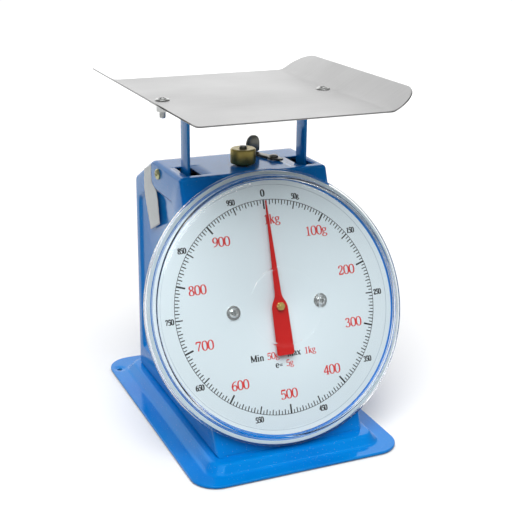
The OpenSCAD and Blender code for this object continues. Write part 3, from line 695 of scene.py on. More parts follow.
class DIALSCALE_OT_base(bpy.types.Operator):
    """Makes the pressed base and its rubber feet"""

    bl_idname = "dial_scale.base"
    bl_label = "Base"

    def execute(self, context):
        s = sizes_mm(context)
        base = add_piece(
            "pressed_base", base_shape(s), "stand", MATERIALS["blue_paint"], ["base_plate"],
            angle=50, solid=s["sheet"], open_up=("along", (0, 0, 1)),
        )
        hole = plate(circle(2.2, 32), 0, 5, 0.01, 1)
        cut_with(base, mirrored(placed(hole, GROUND.at(*REAR_HOLE))))
        tall = box_mm("rubber_feet")[1][2]
        foot = turned(soften_path([(0, 0), (5.6, 0), (6.6, 0.5), (7.0, tall), (0, tall)], 0.5, 3), 48)
        feet = [placed(foot, GROUND.at(x, y)) for x in (-FOOT_X, FOOT_X) for y in (-FOOT_Y, FOOT_Y)]
        add_piece("soft_feet", joined(*feet), "stand", MATERIALS["rubber"], ["rubber_feet"])
        return {"FINISHED"}


PAN_DEPTH = 7.4


def housing_outlines():
    """The housing's (y, z) outline from its CAD box and the dial's lean, and the recess in its sides."""
    low, high = box_mm("housing_shell")
    lean = DIAL.axes[2]
    wall = DIAL.origin - PAN_DEPTH * lean
    front = lambda z: wall[1] - (z - wall[2]) * lean[2] / lean[1]
    rear, shoulder = 90.0, 174.5
    outline = np.array([(front(low[2]), low[2]), (rear, low[2]), (rear, shoulder), (88.2, 178.8),
                        (43, high[2]), (front(high[2]), high[2])])
    recess = np.array([(-4, 30), (80, 30), (80, 163), (46, 180), (-4, 180)], float)
    return outline, recess


def housing_shape(s):
    """Folded shell: a stack of closed outlines across x. On the flank they open from the recess's floor, up
    its sloping wall, out to the shell's edge and round the side bend; between the bends the full outline
    repeats. Every outline is read along the same rays, so that the grid's lines run straight through."""
    outline, recess = housing_outlines()
    half = box_mm("housing_shell")[1][0]
    centre = np.array([30.0, 105.0])
    bend, slope, depth = s["side_bend"], s["recess_slope"], 2.2
    cuts = np.array([0.01, 0.01, 2.5, 2.5, 5.0, 2.2])
    full = soften(outline, cuts, 5)
    mouth = soften(drawn_in(recess, -1.0), 6.0, 6)
    slot_y = 14.0
    guides = np.array([(-slot_y, outline[4][1]), (slot_y, outline[4][1])])
    marks = np.concatenate([full, mouth, guides]) - centre
    even = np.linspace(-pi, pi, 180, endpoint=False)
    angles = np.unique(np.r_[np.arctan2(marks[:, 1], marks[:, 0]), even].round(7))
    rays = np.stack([np.cos(angles), np.sin(angles)], 1)

    def ring(x, loop):
        yz = centre + rays * ray_radius(loop, centre, angles)[:, None]
        return np.c_[np.full(len(yz), x), yz]

    flank = []
    for t in np.linspace(0, 1, 9):
        loop = soften(drawn_in(recess, -1 + slope * (1 - t)), 3.0 + 3 * t, 6)
        flank.append(ring(half - depth * (1 - smooth_step(t)), loop))
    for q in np.linspace(0, pi / 2, 7):
        inset = bend * (1 - sin(q))
        loop = soften(drawn_in(outline, inset), np.maximum(cuts - inset * 0.5, 0.4), 5)
        flank.append(ring(half - bend * (1 - cos(q)), loop))
    middle = [ring(x, full) for x in (52, 40, 30, 20, 10, 0, -10, -20, -30, -40, -52)]
    stack = flank + middle + [r * MIRROR_X for r in flank[::-1]]
    grid = np.array(stack)
    rows, columns = grid.shape[:2]
    faces = np.array(quads(rows, columns, False, True))
    points = grid.reshape(-1, 3)
    at = points[faces].mean(1)
    slot = (np.abs(at[:, 0]) > 40) & (np.abs(at[:, 0]) < 52) & (np.abs(at[:, 1]) < slot_y) & (at[:, 2] > 200)
    return points, faces[~slot].tolist() + ring_caps(rows, columns)


class DIALSCALE_OT_housing(bpy.types.Operator):
    """Makes the folded housing and its rear panel"""

    bl_idname = "dial_scale.housing"
    bl_label = "Housing"

    def execute(self, context):
        s = sizes_mm(context)
        blue = MATERIALS["blue_paint"]
        add_piece(
            "folded_housing", housing_shape(s), "stand", blue, ["housing_shell"],
            angle=24, solid=s["sheet"], open_up=("from", (0, 20, 100)),
        )
        low, high = box_mm("rear_panel")
        middle = (low + high) / 2
        back = Place((middle[0], low[1], middle[2]), *REARWARD)
        sheet = plate(rectangle(high[0] - low[0], high[2] - low[2], 5.0), 0, high[1] - low[1], 0.35)
        add_piece("rear_cover", placed(sheet, back), "stand", blue, ["rear_panel"])
        return {"FINISHED"}


# ---- screws, nuts and washers ----


def pan_head(radius, height, rim=0.45, recess=0.55, segments=48):
    """Pan head with a cross recess: turned dome on a polar grid, sunk inside a cross whose walls slope."""
    t = np.linspace(0, pi / 2, 9)
    r_dome, h_dome = radius * 0.98 * np.cos(t), height * (rim + (1 - rim) * np.sin(t))
    fine = np.linspace(1, 0, 14)[:, None] * radius * recess * 1.25
    outer_r = np.r_[radius * 0.9, radius, radius, r_dome]
    outer = np.stack([outer_r, np.r_[0, 0.1, height * rim * 0.9, h_dome]], 1)
    outer = outer[outer[:, 0] > radius * recess * 1.25]
    r = np.r_[0, outer[:, 0], fine[:, 0]]
    crown = np.sqrt(np.maximum(0, 1 - (fine[:, 0] / radius) ** 2))
    h = np.r_[0, outer[:, 1], height * (rim + (1 - rim) * crown)]
    a = np.linspace(0, 2 * pi, segments, endpoint=False)[:, None]
    x, y = r * np.cos(a), r * np.sin(a)
    arm = radius * recess
    across = np.minimum(np.maximum(np.abs(x) / arm, np.abs(y) / (0.26 * arm)),
                        np.maximum(np.abs(y) / arm, np.abs(x) / (0.26 * arm)))
    sunk = smooth_step((1.25 - across) / 0.45) * (h > 0.3 * height)
    points = np.stack([x, y, h - sunk * height * 0.45], -1).reshape(-1, 3)
    return points, quads(segments, len(r), True, False)


def shank(radius, top, bottom, pitch=0.0):
    """Round shank; with a pitch, its outline is a row of small ridges, as a thread is."""
    if pitch:
        z = np.arange(bottom + 0.4, top, pitch / 4)
        r = radius - 0.12 * radius * (0.5 + 0.5 * np.cos(2 * pi * z / pitch))
    else:
        z, r = np.array([bottom + 0.4, top]), np.array([radius, radius])
    profile = np.c_[np.r_[0, radius * 0.75, r, 0], np.r_[bottom, bottom, z, top]]
    return turned(profile, 32)


def hexagon(across_corners, low, high, bore=0.0):
    """Hexagonal prism with chamfered corners: rings of a hexagon and of the circle that trims it."""
    count = 72
    a = np.linspace(0, 2 * pi, count, endpoint=False)
    apothem = across_corners * cos(pi / 6)
    hexagonal = apothem / np.cos((a % (pi / 3)) - pi / 6)
    trimmed = np.minimum(hexagonal, apothem * 1.02)
    drop = (hexagonal - trimmed) * 0.45
    ring = lambda r, z: np.stack([r * np.cos(a), r * np.sin(a), z + 0 * a], 1)
    inner = max(bore, 0.0)
    rings = [ring(inner + 0 * a, low), ring(trimmed, low), ring(hexagonal, low + drop + 0.02),
             ring(hexagonal, high - drop - 0.02), ring(trimmed, high), ring(inner + 0 * a, high)]
    return np.concatenate(rings), quads(len(rings), count, inner > 0, True)


def washer(radius, bore, low, high):
    return turned(soften([(bore, low), (radius, low), (radius, high), (bore, high)], 0.2, 3), 64)


class DIALSCALE_OT_screws(bpy.types.Operator):
    """Makes the side, rear, tray and dial screws with their nuts and washers"""

    bl_idname = "dial_scale.screws"
    bl_label = "Screws and nuts"

    def execute(self, context):
        zinc = MATERIALS["zinc_steel"]
        low, high = box_mm("side_screws")
        y, z = (low[1] + high[1]) / 2, (low[2] + high[2]) / 2
        half = box_mm("housing_shell")[1][0]
        left = Place((-half, y, z), (0, -1, 0), (0, 0, 1), (-1, 0, 0))
        screw = joined(pan_head(4.2, high[0] - half), shank(1.85, 0.3, -5.0))
        add_piece("flank_screws", mirrored(placed(screw, left)), "stand",
                  MATERIALS["yellow_zinc"], ["side_screws"])

        low, high = box_mm("rear_panel_screws")
        face = box_mm("rear_panel")[1][1]
        screw = joined(pan_head(3.2, high[1] - face), shank(1.55, 0.3, -6.0))
        spots = [Place((x, face, z), *REARWARD) for x in (-50, 50) for z in (26, 159)]
        add_piece("cover_screws", joined(*[placed(screw, p) for p in spots]), "stand", zinc,
                  ["rear_panel_screws"])

        low, high = box_mm("tray_screws")
        x, top = high[0] - 5.4, box_mm("tray_washers")[1][2] + 3.2
        screw = joined(pan_head(5.4, high[2] - top, rim=0.3), shank(2.5, 0.3, low[2] - top, 0.8))
        turn = 0.6
        axes = (cos(turn), sin(turn), 0), (-sin(turn), cos(turn), 0)
        spots = [Place((side * x, 0, top), *axes) for side in (-1, 1)]
        add_piece("platter_screws", joined(*[placed(screw, p) for p in spots]), "platform",
                  zinc, ["tray_screws"])
        low, high = box_mm("tray_nuts")
        nuts = [placed(hexagon(4.62, low[2], high[2], 2.52), GROUND.at(side * x, 0)) for side in (-1, 1)]
        add_piece("platter_nuts", joined(*nuts), "platform", zinc, ["tray_nuts"])
        low, high = box_mm("tray_washers")
        rings = [placed(washer(4.4, 2.55, low[2], high[2]), GROUND.at(side * x, 0)) for side in (-1, 1)]
        add_piece("platter_washers", joined(*rings), "platform", zinc, ["tray_washers"])

        reach = box_mm("dial_screws")[1][0] - 3.7
        spots = [DIAL.at(side * reach, 0) for side in (-1, 1)]
        rings = [placed(washer(5.4, 2.0, 0, 0.9), p) for p in spots]
        add_piece("dial_rings", joined(*rings), "stand", zinc, ["dial_washers"])
        screw = joined(placed(pan_head(3.7, 2.2, rim=0.35), GROUND.at(0, 0, 0.9)), shank(1.88, 1.1, -10.5))
        add_piece("dial_heads", joined(*[placed(screw, p) for p in spots]), "stand", zinc,
                  ["dial_screws"])
        return {"FINISHED"}


# ---- dial, print, pointer and lens ----


class DIALSCALE_OT_dial(bpy.types.Operator):
    """Makes the dial's pan and its white face"""

    bl_idname = "dial_scale.dial"
    bl_label = "Dial"

    def execute(self, context):
        gap, round_steps = 0.002, 192
        floor, ledge, lip = gap - PAN_DEPTH, -1.8, 1.02
        profile = [(8, floor), (87, floor), (88, ledge), (98.6, ledge), (98.6, 0.2), (101.2, 0.2),
                   (101.2, lip), (97.6, lip), (97.6, -0.8), (86.8, -0.8), (85.9, floor + 1), (8, floor + 1)]
        cuts = [0.2, 0.8, 0.5, 0.6, 0.2, 0.3, 0.4, 0.4, 0.2, 0.3, 0.5, 0.2]
        pan = turned(soften(profile, cuts, 4), round_steps)
        add_piece("round_pan", placed(pan, DIAL), "stand", MATERIALS["blue_paint"],
                  ["dial_pan"])
        seal = turned(soften([(98.1, lip), (101.1, lip), (101.1, 1.46), (98.1, 1.46)], 0.12, 3), round_steps)
        add_piece("seal_ring", placed(seal, DIAL), "stand", MATERIALS["seal"])
        radius = 95.5
        face = turned(soften([(3.5, -0.8), (radius, -0.8), (radius, 0), (3.5, 0)], 0.15, 2), round_steps)
        add_piece("white_face", placed(face, DIAL), "stand", MATERIALS["dial_white"],
                  ["dial_plate"])
        return {"FINISHED"}


# Width of a pen stroke that goes up or down and of one that goes across, in units of a figure's height.
THICK, THIN = 0.145, 0.062
# Strokes of each character in units of its height: (closed, weight, points from start to end).
STROKES = {
    "0": [(True, 1.0, [(0.31, 0.98), (0.12, 0.83), (0.07, 0.5), (0.12, 0.17), (0.31, 0.02), (0.5, 0.17),
                       (0.55, 0.5), (0.5, 0.83)])],
    "1": [(False, 1.0, [(0.33, 0.03), (0.33, 0.97)]),
          (False, 0.8, [(0.33, 0.95), (0.24, 0.87), (0.13, 0.84)]),
          (False, 1.0, [(0.13, 0.025), (0.53, 0.025)])],
    "2": [(False, 1.0, [(0.12, 0.70), (0.15, 0.88), (0.3, 0.97), (0.46, 0.88), (0.48, 0.70), (0.38, 0.48),
                        (0.2, 0.25), (0.08, 0.07)]),
          (False, 2.2, [(0.09, 0.06), (0.52, 0.06)]), (False, 0.8, [(0.50, 0.05), (0.57, 0.22)])],
    "3": [(False, 1.0, [(0.11, 0.78), (0.17, 0.92), (0.3, 0.97), (0.44, 0.88), (0.44, 0.68), (0.34, 0.56),
                        (0.22, 0.53)]),
          (False, 1.0, [(0.24, 0.54), (0.42, 0.48), (0.51, 0.3), (0.45, 0.1), (0.28, 0.02), (0.13, 0.07),
                        (0.08, 0.17)])],
    "4": [(False, 0.9, [(0.42, 0.97), (0.04, 0.29)]), (False, 1.6, [(0.04, 0.28), (0.59, 0.28)]),
          (False, 1.0, [(0.42, 0.98), (0.42, 0.02)]), (False, 1.0, [(0.28, 0.025), (0.56, 0.025)])],
    "5": [(False, 2.4, [(0.14, 0.93), (0.56, 0.93)]), (False, 0.6, [(0.15, 0.96), (0.11, 0.52)]),
          (False, 1.0, [(0.11, 0.52), (0.27, 0.60), (0.44, 0.53), (0.52, 0.33), (0.45, 0.1), (0.28, 0.02),
                        (0.13, 0.06), (0.08, 0.15)])],
    "6": [(False, 1.0, [(0.52, 0.95), (0.34, 0.90), (0.16, 0.72), (0.08, 0.4), (0.15, 0.12), (0.31, 0.02),
                        (0.47, 0.12), (0.53, 0.3), (0.47, 0.49), (0.32, 0.57), (0.17, 0.50), (0.11, 0.38)])],
    "7": [(False, 2.0, [(0.09, 0.93), (0.54, 0.93)]), (False, 0.8, [(0.10, 0.95), (0.06, 0.74)]),
          (False, 0.8, [(0.54, 0.94), (0.40, 0.62), (0.27, 0.25), (0.24, 0.02)])],
    "8": [(True, 1.0, [(0.31, 0.98), (0.16, 0.90), (0.14, 0.74), (0.31, 0.53), (0.48, 0.74), (0.46, 0.90)]),
          (True, 1.0, [(0.31, 0.55), (0.11, 0.36), (0.12, 0.12), (0.31, 0.02), (0.5, 0.12), (0.51, 0.36)])],
    "9": [(False, 1.0, [(0.10, 0.05), (0.28, 0.10), (0.46, 0.28), (0.54, 0.6), (0.47, 0.88), (0.31, 0.98),
                        (0.15, 0.88), (0.09, 0.70), (0.15, 0.51), (0.30, 0.43), (0.45, 0.50), (0.51, 0.62)])],
    "g": [(True, 0.9, [(0.25, 0.66), (0.11, 0.58), (0.10, 0.40), (0.25, 0.30), (0.40, 0.40), (0.39, 0.58)]),
          (True, 0.9, [(0.27, 0.10), (0.09, 0.02), (0.08, -0.14), (0.27, -0.22), (0.47, -0.13),
                       (0.46, 0.02)]),
          (False, 0.8, [(0.38, 0.60), (0.52, 0.64)]),
          (False, 0.8, [(0.17, 0.33), (0.12, 0.21), (0.28, 0.11)])],
    "k": [(False, 1.0, [(0.14, 0.02), (0.14, 0.98)]), (False, 0.8, [(0.45, 0.64), (0.18, 0.34)]),
          (False, 1.2, [(0.26, 0.42), (0.47, 0.03)]), (False, 1.0, [(0.04, 0.02), (0.25, 0.02)]),
          (False, 1.0, [(0.37, 0.02), (0.56, 0.02)]), (False, 0.8, [(0.05, 0.97), (0.14, 0.97)]),
          (False, 0.8, [(0.34, 0.65), (0.52, 0.65)])],
    "M": [(False, 0.8, [(0.12, 0.02), (0.12, 0.98)]), (False, 1.1, [(0.12, 0.97), (0.42, 0.06)]),
          (False, 0.7, [(0.42, 0.05), (0.72, 0.97)]), (False, 1.2, [(0.73, 0.98), (0.73, 0.02)]),
          (False, 1.0, [(0.03, 0.02), (0.22, 0.02)]), (False, 1.0, [(0.60, 0.02), (0.85, 0.02)])],
    "i": [(False, 1.0, [(0.15, 0.02), (0.15, 0.66)]), (False, 1.0, [(0.04, 0.02), (0.27, 0.02)]),
          (False, 0.8, [(0.05, 0.65), (0.15, 0.65)]), (False, 1.0, [(0.15, 0.84), (0.15, 0.96)])],
    "n": [(False, 1.0, [(0.13, 0.02), (0.13, 0.66)]), (False, 1.0, [(0.15, 0.52), (0.3, 0.65), (0.43, 0.55),
                                                                   (0.44, 0.3), (0.44, 0.02)]),
          (False, 1.0, [(0.03, 0.02), (0.24, 0.02)]), (False, 1.0, [(0.34, 0.02), (0.55, 0.02)])],
    "a": [(False, 1.0, [(0.10, 0.54), (0.22, 0.66), (0.36, 0.58), (0.37, 0.3), (0.38, 0.08), (0.48, 0.05)]),
          (False, 0.9, [(0.36, 0.40), (0.16, 0.32), (0.08, 0.16), (0.18, 0.03), (0.37, 0.16)])],
    "x": [(False, 1.1, [(0.08, 0.64), (0.44, 0.03)]), (False, 0.6, [(0.45, 0.64), (0.08, 0.03)]),
          (False, 0.8, [(0.02, 0.65), (0.20, 0.65)]), (False, 0.8, [(0.34, 0.65), (0.52, 0.65)]),
          (False, 0.8, [(0.0, 0.02), (0.17, 0.02)]), (False, 0.8, [(0.32, 0.02), (0.54, 0.02)])],
    "e": [(False, 1.0, [(0.10, 0.36), (0.42, 0.38), (0.38, 0.58), (0.25, 0.66), (0.11, 0.55), (0.08, 0.30),
                        (0.15, 0.08), (0.29, 0.02), (0.43, 0.13)])],
    "=": [(False, 1.2, [(0.08, 0.46), (0.52, 0.46)]), (False, 1.2, [(0.08, 0.26), (0.52, 0.26)])],
    " ": [],
}
ADVANCE = {"M": 0.88, "i": 0.32, "n": 0.58, "k": 0.58, "g": 0.56, "a": 0.52, "x": 0.56, "e": 0.50, " ": 0.34,
           "=": 0.62}
DIGIT_ADVANCE = 0.60


def curve_through(points, closed, per_span=6):
    """Smooth curve through the points: on each span, the cubic whose slopes are half the step between the
    points on either side."""
    p = np.asarray(points, float)
    if len(p) == 2:
        return p
    q = np.r_[p[-1:], p, p[:2]] if closed else np.r_[2 * p[:1] - p[1:2], p, 2 * p[-1:] - p[-2:-1]]
    a, b, c, d = q[:-3, None], q[1:-2, None], q[2:-1, None], q[3:, None]
    t = np.linspace(0, 1, per_span, endpoint=False)[None, :, None]
    curve = 0.5 * (2 * b + (c - a) * t + (2 * a - 5 * b + 4 * c - d) * t**2 + (3 * b - a - 3 * c + d) * t**3)
    curve = curve.reshape(-1, 2)
    return curve if closed else np.r_[curve, p[-1:]]


def ribbon(path, closed, widths, low, high):
    """Low solid strip: each point of a flat path is widened to both sides, and the strip stands from low to
    high."""
    if closed:
        along = np.roll(path, -1, 0) - np.roll(path, 1, 0)
    else:
        along = np.gradient(path, axis=0)
    along /= np.linalg.norm(along, axis=1, keepdims=True)
    side = np.stack([-along[:, 1], along[:, 0]], 1)
    half = (widths(along) / 2)[:, None]
    left, right = path + side * half, path - side * half
    height = lambda p, z: np.c_[p, np.full(len(p), z)]
    grid = np.stack([height(left, low), height(right, low), height(right, high), height(left, high)], 1)
    faces = quads(len(path), 4, closed, True)
    return grid.reshape(-1, 3), faces if closed else faces + ring_caps(len(path), 4)


PRINT_LOW, PRINT_HIGH, PRINT_STEP = -0.05, 0.03, 0.004


def written(text, middle, height, wide=1.0, bold=1.0):
    """A line of characters about its middle. Strokes are drawn as with a broad pen, thick where they go up or
    down and thin where they go across; each stands a hair higher than the last, so that none share a face."""
    advances = [wide * ADVANCE.get(c, DIGIT_ADVANCE) for c in text]
    x = middle[0] - height * sum(advances) / 2
    y = middle[1] - height / 2
    shapes, level = [], 0
    for character, advance in zip(text, advances):
        for closed, weight, points in STROKES[character]:
            path = curve_through(points, closed) * (height * wide, height) + (x, y)
            pen = lambda d, w=weight * bold: height * w * (THIN + (THICK - THIN) * np.abs(d[:, 1]) ** 1.5)
            shapes.append(ribbon(path, closed, pen, PRINT_LOW, PRINT_HIGH + level % 5 * PRINT_STEP))
            level += 1
        x += height * advance
    return joined(*shapes)


def graduations(s, divisions):
    """Radial bars from the tick circle inwards, of one length and width for each of 5, 10, 50 and 100 g."""
    shapes = []
    fine = s["fine_tick"]
    for k in range(divisions):
        if k % 20 == 0:
            long, wide = fine * 2.5, 1.3
        elif k % 10 == 0:
            long, wide = fine * 2.0, 0.95
        elif k % 2 == 0:
            long, wide = fine * 1.35, 0.78
        else:
            long, wide = fine, 0.66
        a = 2 * pi * k / divisions
        out = np.array([sin(a), cos(a)])
        path = np.array([out * (s["tick_circle"] - long), out * (s["tick_circle"] + 0.15)])
        shapes.append(ribbon(path, False, lambda d, w=wide: np.full(len(d), w), PRINT_LOW, PRINT_HIGH))
    return joined(*shapes)


def printed_ring(radius, width):
    return turned([(radius - width / 2, PRINT_LOW), (radius + width / 2, PRINT_LOW),
                   (radius + width / 2, PRINT_HIGH + 0.02), (radius - width / 2, PRINT_HIGH + 0.02)], 256)


class DIALSCALE_OT_print(bpy.types.Operator):
    """Prints the graduations, the figures and the capacity line on the dial"""

    bl_idname = "dial_scale.print"
    bl_label = "Dial print"

    def execute(self, context):
        s = sizes_mm(context)
        divisions = context.scene.dial_scale_sizes.dial_divisions
        black, red = MATERIALS["black_ink"], MATERIALS["red_ink"]
        tall, small = s["red_figure"], s["black_figure"]
        ticks = joined(graduations(s, divisions), printed_ring(s["tick_circle"], 0.42))
        add_piece("graduations", placed(ticks, DIAL), "stand", black)
        add_piece("margin_line", placed(printed_ring(91.2, 0.35), DIAL), "stand",
                  MATERIALS["pale_ink"])
        figures = []
        for k in range(1, 11):
            a = 2 * pi * k / 10
            label, shift = (f"{100 * k}", 0.0) if k < 10 else ("1kg", 4.9)
            if k == 1:
                label, shift = "100g", 2.4
            figures.append(written(label, (63.6 * sin(a) + shift, 65.2 * cos(a)), tall, 1.08, 1.15))
        figures.append(written("50g", (-8.6, -35.5), 5.0, 1.1, 1.2))
        figures.append(written("1kg", (21.6, -35.5), 5.0, 1.1, 1.2))
        figures.append(written("5g", (4.0, -42.5), 4.9, 1.05, 1.2))
        add_piece("red_figures", placed(joined(*figures), DIAL), "stand", red)
        marks = [written("0", (0.0, 85.0), small + 1.0, 1.0, 1.7)]
        for k in range(10):
            a = 2 * pi * (k + 0.5) / 10
            label = f"{100 * k + 50}" + ("g" if k == 0 else "")
            marks.append(written(label, (84.4 * sin(a), 84.4 * cos(a)), small, 0.86, 1.7))
        marks.append(written("Min", (-21.4, -35.5), 4.9, 1.22, 1.5))
        marks.append(written("Max", (8.4, -35.5), 4.9, 1.15, 1.5))
        marks.append(written("e=", (-4.6, -42.5), 4.9, 1.1, 1.4))
        add_piece("black_figures", placed(joined(*marks), DIAL), "stand", black)
        return {"FINISHED"}


def pointer_shape(s):
    """Pressed pointer: rings of its outline drawn in step by step; the rim stands proud of the middle, and
    the underside is flat. The hub below it is turned."""
    half = [(7.0, -36.2), (6.3, 0.0), (5.4, 2.8), (2.7, 7.5), (0.5, 79.1)]
    outline = np.array(half + [(-x, y) for x, y in half[::-1]])
    outline = soften(outline, [2.2, 3, 1.5, 4, 0.4, 0.4, 4, 1.5, 3, 2.2], 6)
    under, top, rim = 4.2, 4.9, s["pointer_rim"]
    stops = [(0.12, under), (0.0, under + 0.15), (0.0, top - 0.22), (0.12, top - 0.03), (0.35, top),
             (0.7, top - 0.05), (rim, top - 0.22)]
    narrow = np.clip(np.abs(outline[:, 0]) / rim / 2.2, 0.12, 1)[:, None]
    full = drawn_in(outline, 0.0)
    rings = []
    for inset, z in stops:
        moved = full + (drawn_in(outline, inset) - full) * narrow
        rings.append(np.c_[moved, np.full(len(outline), z)])
    hub = turned(soften_path([(0, 2.2), (3, 2.2), (3, 4.25), (0, 4.25)], 0.2, 2), 48)
    return joined(capped(rings), hub)


def lens_profile(s):
    """The lens's closed (radius, height) outline, from the middle of its inner face out to the skirt and back
    over the flange, wall, shoulder and shallow dome with a moulded ring. The dome is an arc of a circle."""
    t, edge, mid, rim = s["lens_wall"], 9.4, 15.8, 94.0
    ball = (rim**2 + (mid - edge - 0.9) ** 2) / 2 / (mid - edge - 0.9)
    dome = lambda r: mid - ball + np.sqrt(ball**2 - r**2)
    r = np.r_[np.linspace(rim, 31, 22), np.linspace(30, 27, 13), np.linspace(26, 0, 10)]
    ridge = 0.45 * smooth_step((1.0 - np.abs(r - 28.5)) / 0.6)
    outer = np.c_[r, dome(r) + ridge]
    back = np.linspace(0, 93.2, 30)
    inner = np.c_[back, dome(back) - t]
    radius = 102.8
    wall_out = soften_path([(radius, -1), (radius, 2.9), (98.4, 2.9), (96.4, edge - 0.6), (95.4, edge + 0.4),
                            outer[0]], [0, 0.5, 0.9, 0.8, 0.7, 0], 6)
    wall_in = soften_path([inner[-1], (94.6, edge - 1.2), (96.6, 1.5), (radius - t, 1.5), (radius - t, -1)],
                          [0, 0.8, 0.9, 0.4, 0], 6)
    return np.concatenate([inner, wall_in[1:], wall_out, outer[1:]])


class DIALSCALE_OT_pointer(bpy.types.Operator):
    """Makes the red pointer with its hub nut and shaft end"""

    bl_idname = "dial_scale.pointer"
    bl_label = "Pointer"

    def execute(self, context):
        s = sizes_mm(context)
        add_piece("red_pointer", placed(pointer_shape(s), DIAL), "needle",
                  MATERIALS["pointer_red"], ["pointer"])
        nut = placed(hexagon(3.2, 4.9, 7.5, 1.5), DIAL)
        # The hub nut and shaft end take the lighter brass copy, a painted highlight.
        add_piece("pointer_nut", nut, "needle", MATERIALS["brass_painted_highlight"], ["hub_nut"])
        end = [(0, -38.1), (1.3, -38.1), (1.5, -37.8), (1.5, 7.8), (1.1, 8.2), (0, 8.2)]
        add_piece("needle_shaft", placed(turned(end, 32), DIAL), "needle", MATERIALS["brass_painted_highlight"],
                  ["pointer_shaft"])
        return {"FINISHED"}


class DIALSCALE_OT_lens(bpy.types.Operator):
    """Makes the clear domed lens"""

    bl_idname = "dial_scale.lens"
    bl_label = "Lens"

    def execute(self, context):
        shape = placed(turned(lens_profile(sizes_mm(context)), 256), DIAL)
        add_piece("domed_lens", shape, "stand", MATERIALS["clear_lens"], ["lens"], angle=40)
        return {"FINISHED"}


# ---- tray and uprights ----


def tray_shape():
    """Sheet bent up at both sides: rows across a rounded rectangle of flat sheet, each point rolled on to
    the flat, the bend's arc or the sloping side by how far it is from the middle; shallow dimples take the
    screws."""
    high = box_mm("tray")[1]
    flat, bend, flare = 148.0, 10.0, radians(32)
    bend_x = flat / 2 - bend * tan(flare / 2)
    arc = bend * flare
    side = 25.0 - bend * tan(flare / 2)
    half, depth, corner = bend_x + arc + side, high[1], 20.0
    v = np.r_[-depth, -depth + 0.4, -depth + 1.2]
    rise = depth - corner * (1 - np.sin(np.linspace(0, pi / 2, 12)))[::-1]
    y = np.unique(np.r_[-rise, v, np.linspace(-depth + corner, depth - corner, 40), -v, rise].round(5))
    over = np.clip(np.abs(y) - (depth - corner), 0, corner)
    reach = half - corner + np.sqrt(np.maximum(corner**2 - over**2, 0))
    across = np.sin(np.linspace(-1, 1, 97) * pi / 2)
    across = 0.35 * across + 0.65 * np.linspace(-1, 1, 97)
    u = reach[:, None] * across[None]
    far = np.abs(u)
    angle = np.clip((far - bend_x) / bend, 0, flare)
    straight = np.clip(far - bend_x - arc, 0, None)
    x = np.minimum(far, bend_x) + bend * np.sin(angle) + straight * cos(flare)
    z = bend * (1 - np.cos(angle)) + straight * sin(flare)
    x = np.sign(u) * x
    yy = y[:, None] + 0 * u
    screw = box_mm("tray_screws")[1][0] - 5.4
    dip = np.hypot(np.abs(x) - screw, yy)
    z = z + box_mm("tray_washers")[1][2] + 3.2 - 0.12 * smooth_step((7.5 - dip) / 3)
    grid = np.stack([x, yy, z], -1)
    return grid.reshape(-1, 3), quads(*grid.shape[:2])


def upright_shape():
    """Flat bar with a foot-wide ear: its rounded section carried up the outer side and in along the top."""
    low, high = box_mm("upright_left")
    thick, wide = 2.2, high[1] - low[1]
    line = low[0] + thick / 2
    path = [(line, 0, low[2]), (line, 0, high[2] - thick / 2), (high[0], 0, high[2] - thick / 2)]
    return swept(rectangle(thick, wide, 0.5, 3), soften_path(path, [0, 1.6, 0], 6), (0, 1, 0))


def pin_slots():
    """Two short slots through an upright, where its guide levers' pins ride: a rounded bar across x for
    each."""
    shapes = []
    wide, play = 4.1, 0.55
    outline = rectangle(play + wide, wide, 2.04, 8)
    for name in ("upper_lever_pins", "lower_lever_pins"):
        z = box_mm(name)[1][2] - 3.0
        across = Place((0, 0.27, z), (0, 1, 0), (0, 0, 1), (1, 0, 0))
        shapes.append(placed(plate(outline, -60, -40, 0.01, 1), across))
    return joined(*shapes)


class DIALSCALE_OT_tray(bpy.types.Operator):
    """Makes the tray, its support bar and the two uprights"""

    bl_idname = "dial_scale.tray"
    bl_label = "Tray and uprights"

    def execute(self, context):
        steel, blue = MATERIALS["tray_steel"], MATERIALS["blue_paint"]
        tray = add_piece("flared_tray", tray_shape(), "platform", steel, ["tray"], angle=40,
                         solid=1.0, open_up=("along", (0, 0, 1)))
        tray.data.materials.append(MATERIALS["cut_edge"])
        tray.modifiers["wall"].material_offset_rim = 1
        edge = tray.modifiers.new("edge", "BEVEL")
        edge.width = 0.25 * MM
        edge.segments = 2
        edge.limit_method = "ANGLE"
        low, high = box_mm("tray_support")
        bar = plate(rectangle(high[0] - low[0], high[1] - low[1], 5.0), low[2], high[2], 0.5)
        add_piece("support_bar", bar, "platform", MATERIALS["zinc_steel"], ["tray_support"])
        left = add_piece("left_upright", upright_shape(), "platform", blue, ["upright_left"])
        cut_with(left, pin_slots())
        shape = upright_shape()
        mirror_shape = shape[0] * MIRROR_X, [face[::-1] for face in shape[1]]
        right = add_piece("right_upright", mirror_shape, "platform", blue, ["upright_right"])
        slots = pin_slots()
        cut_with(right, (slots[0] * MIRROR_X, slots[1]))
        return {"FINISHED"}


# ---- zero adjuster and rebound catch ----


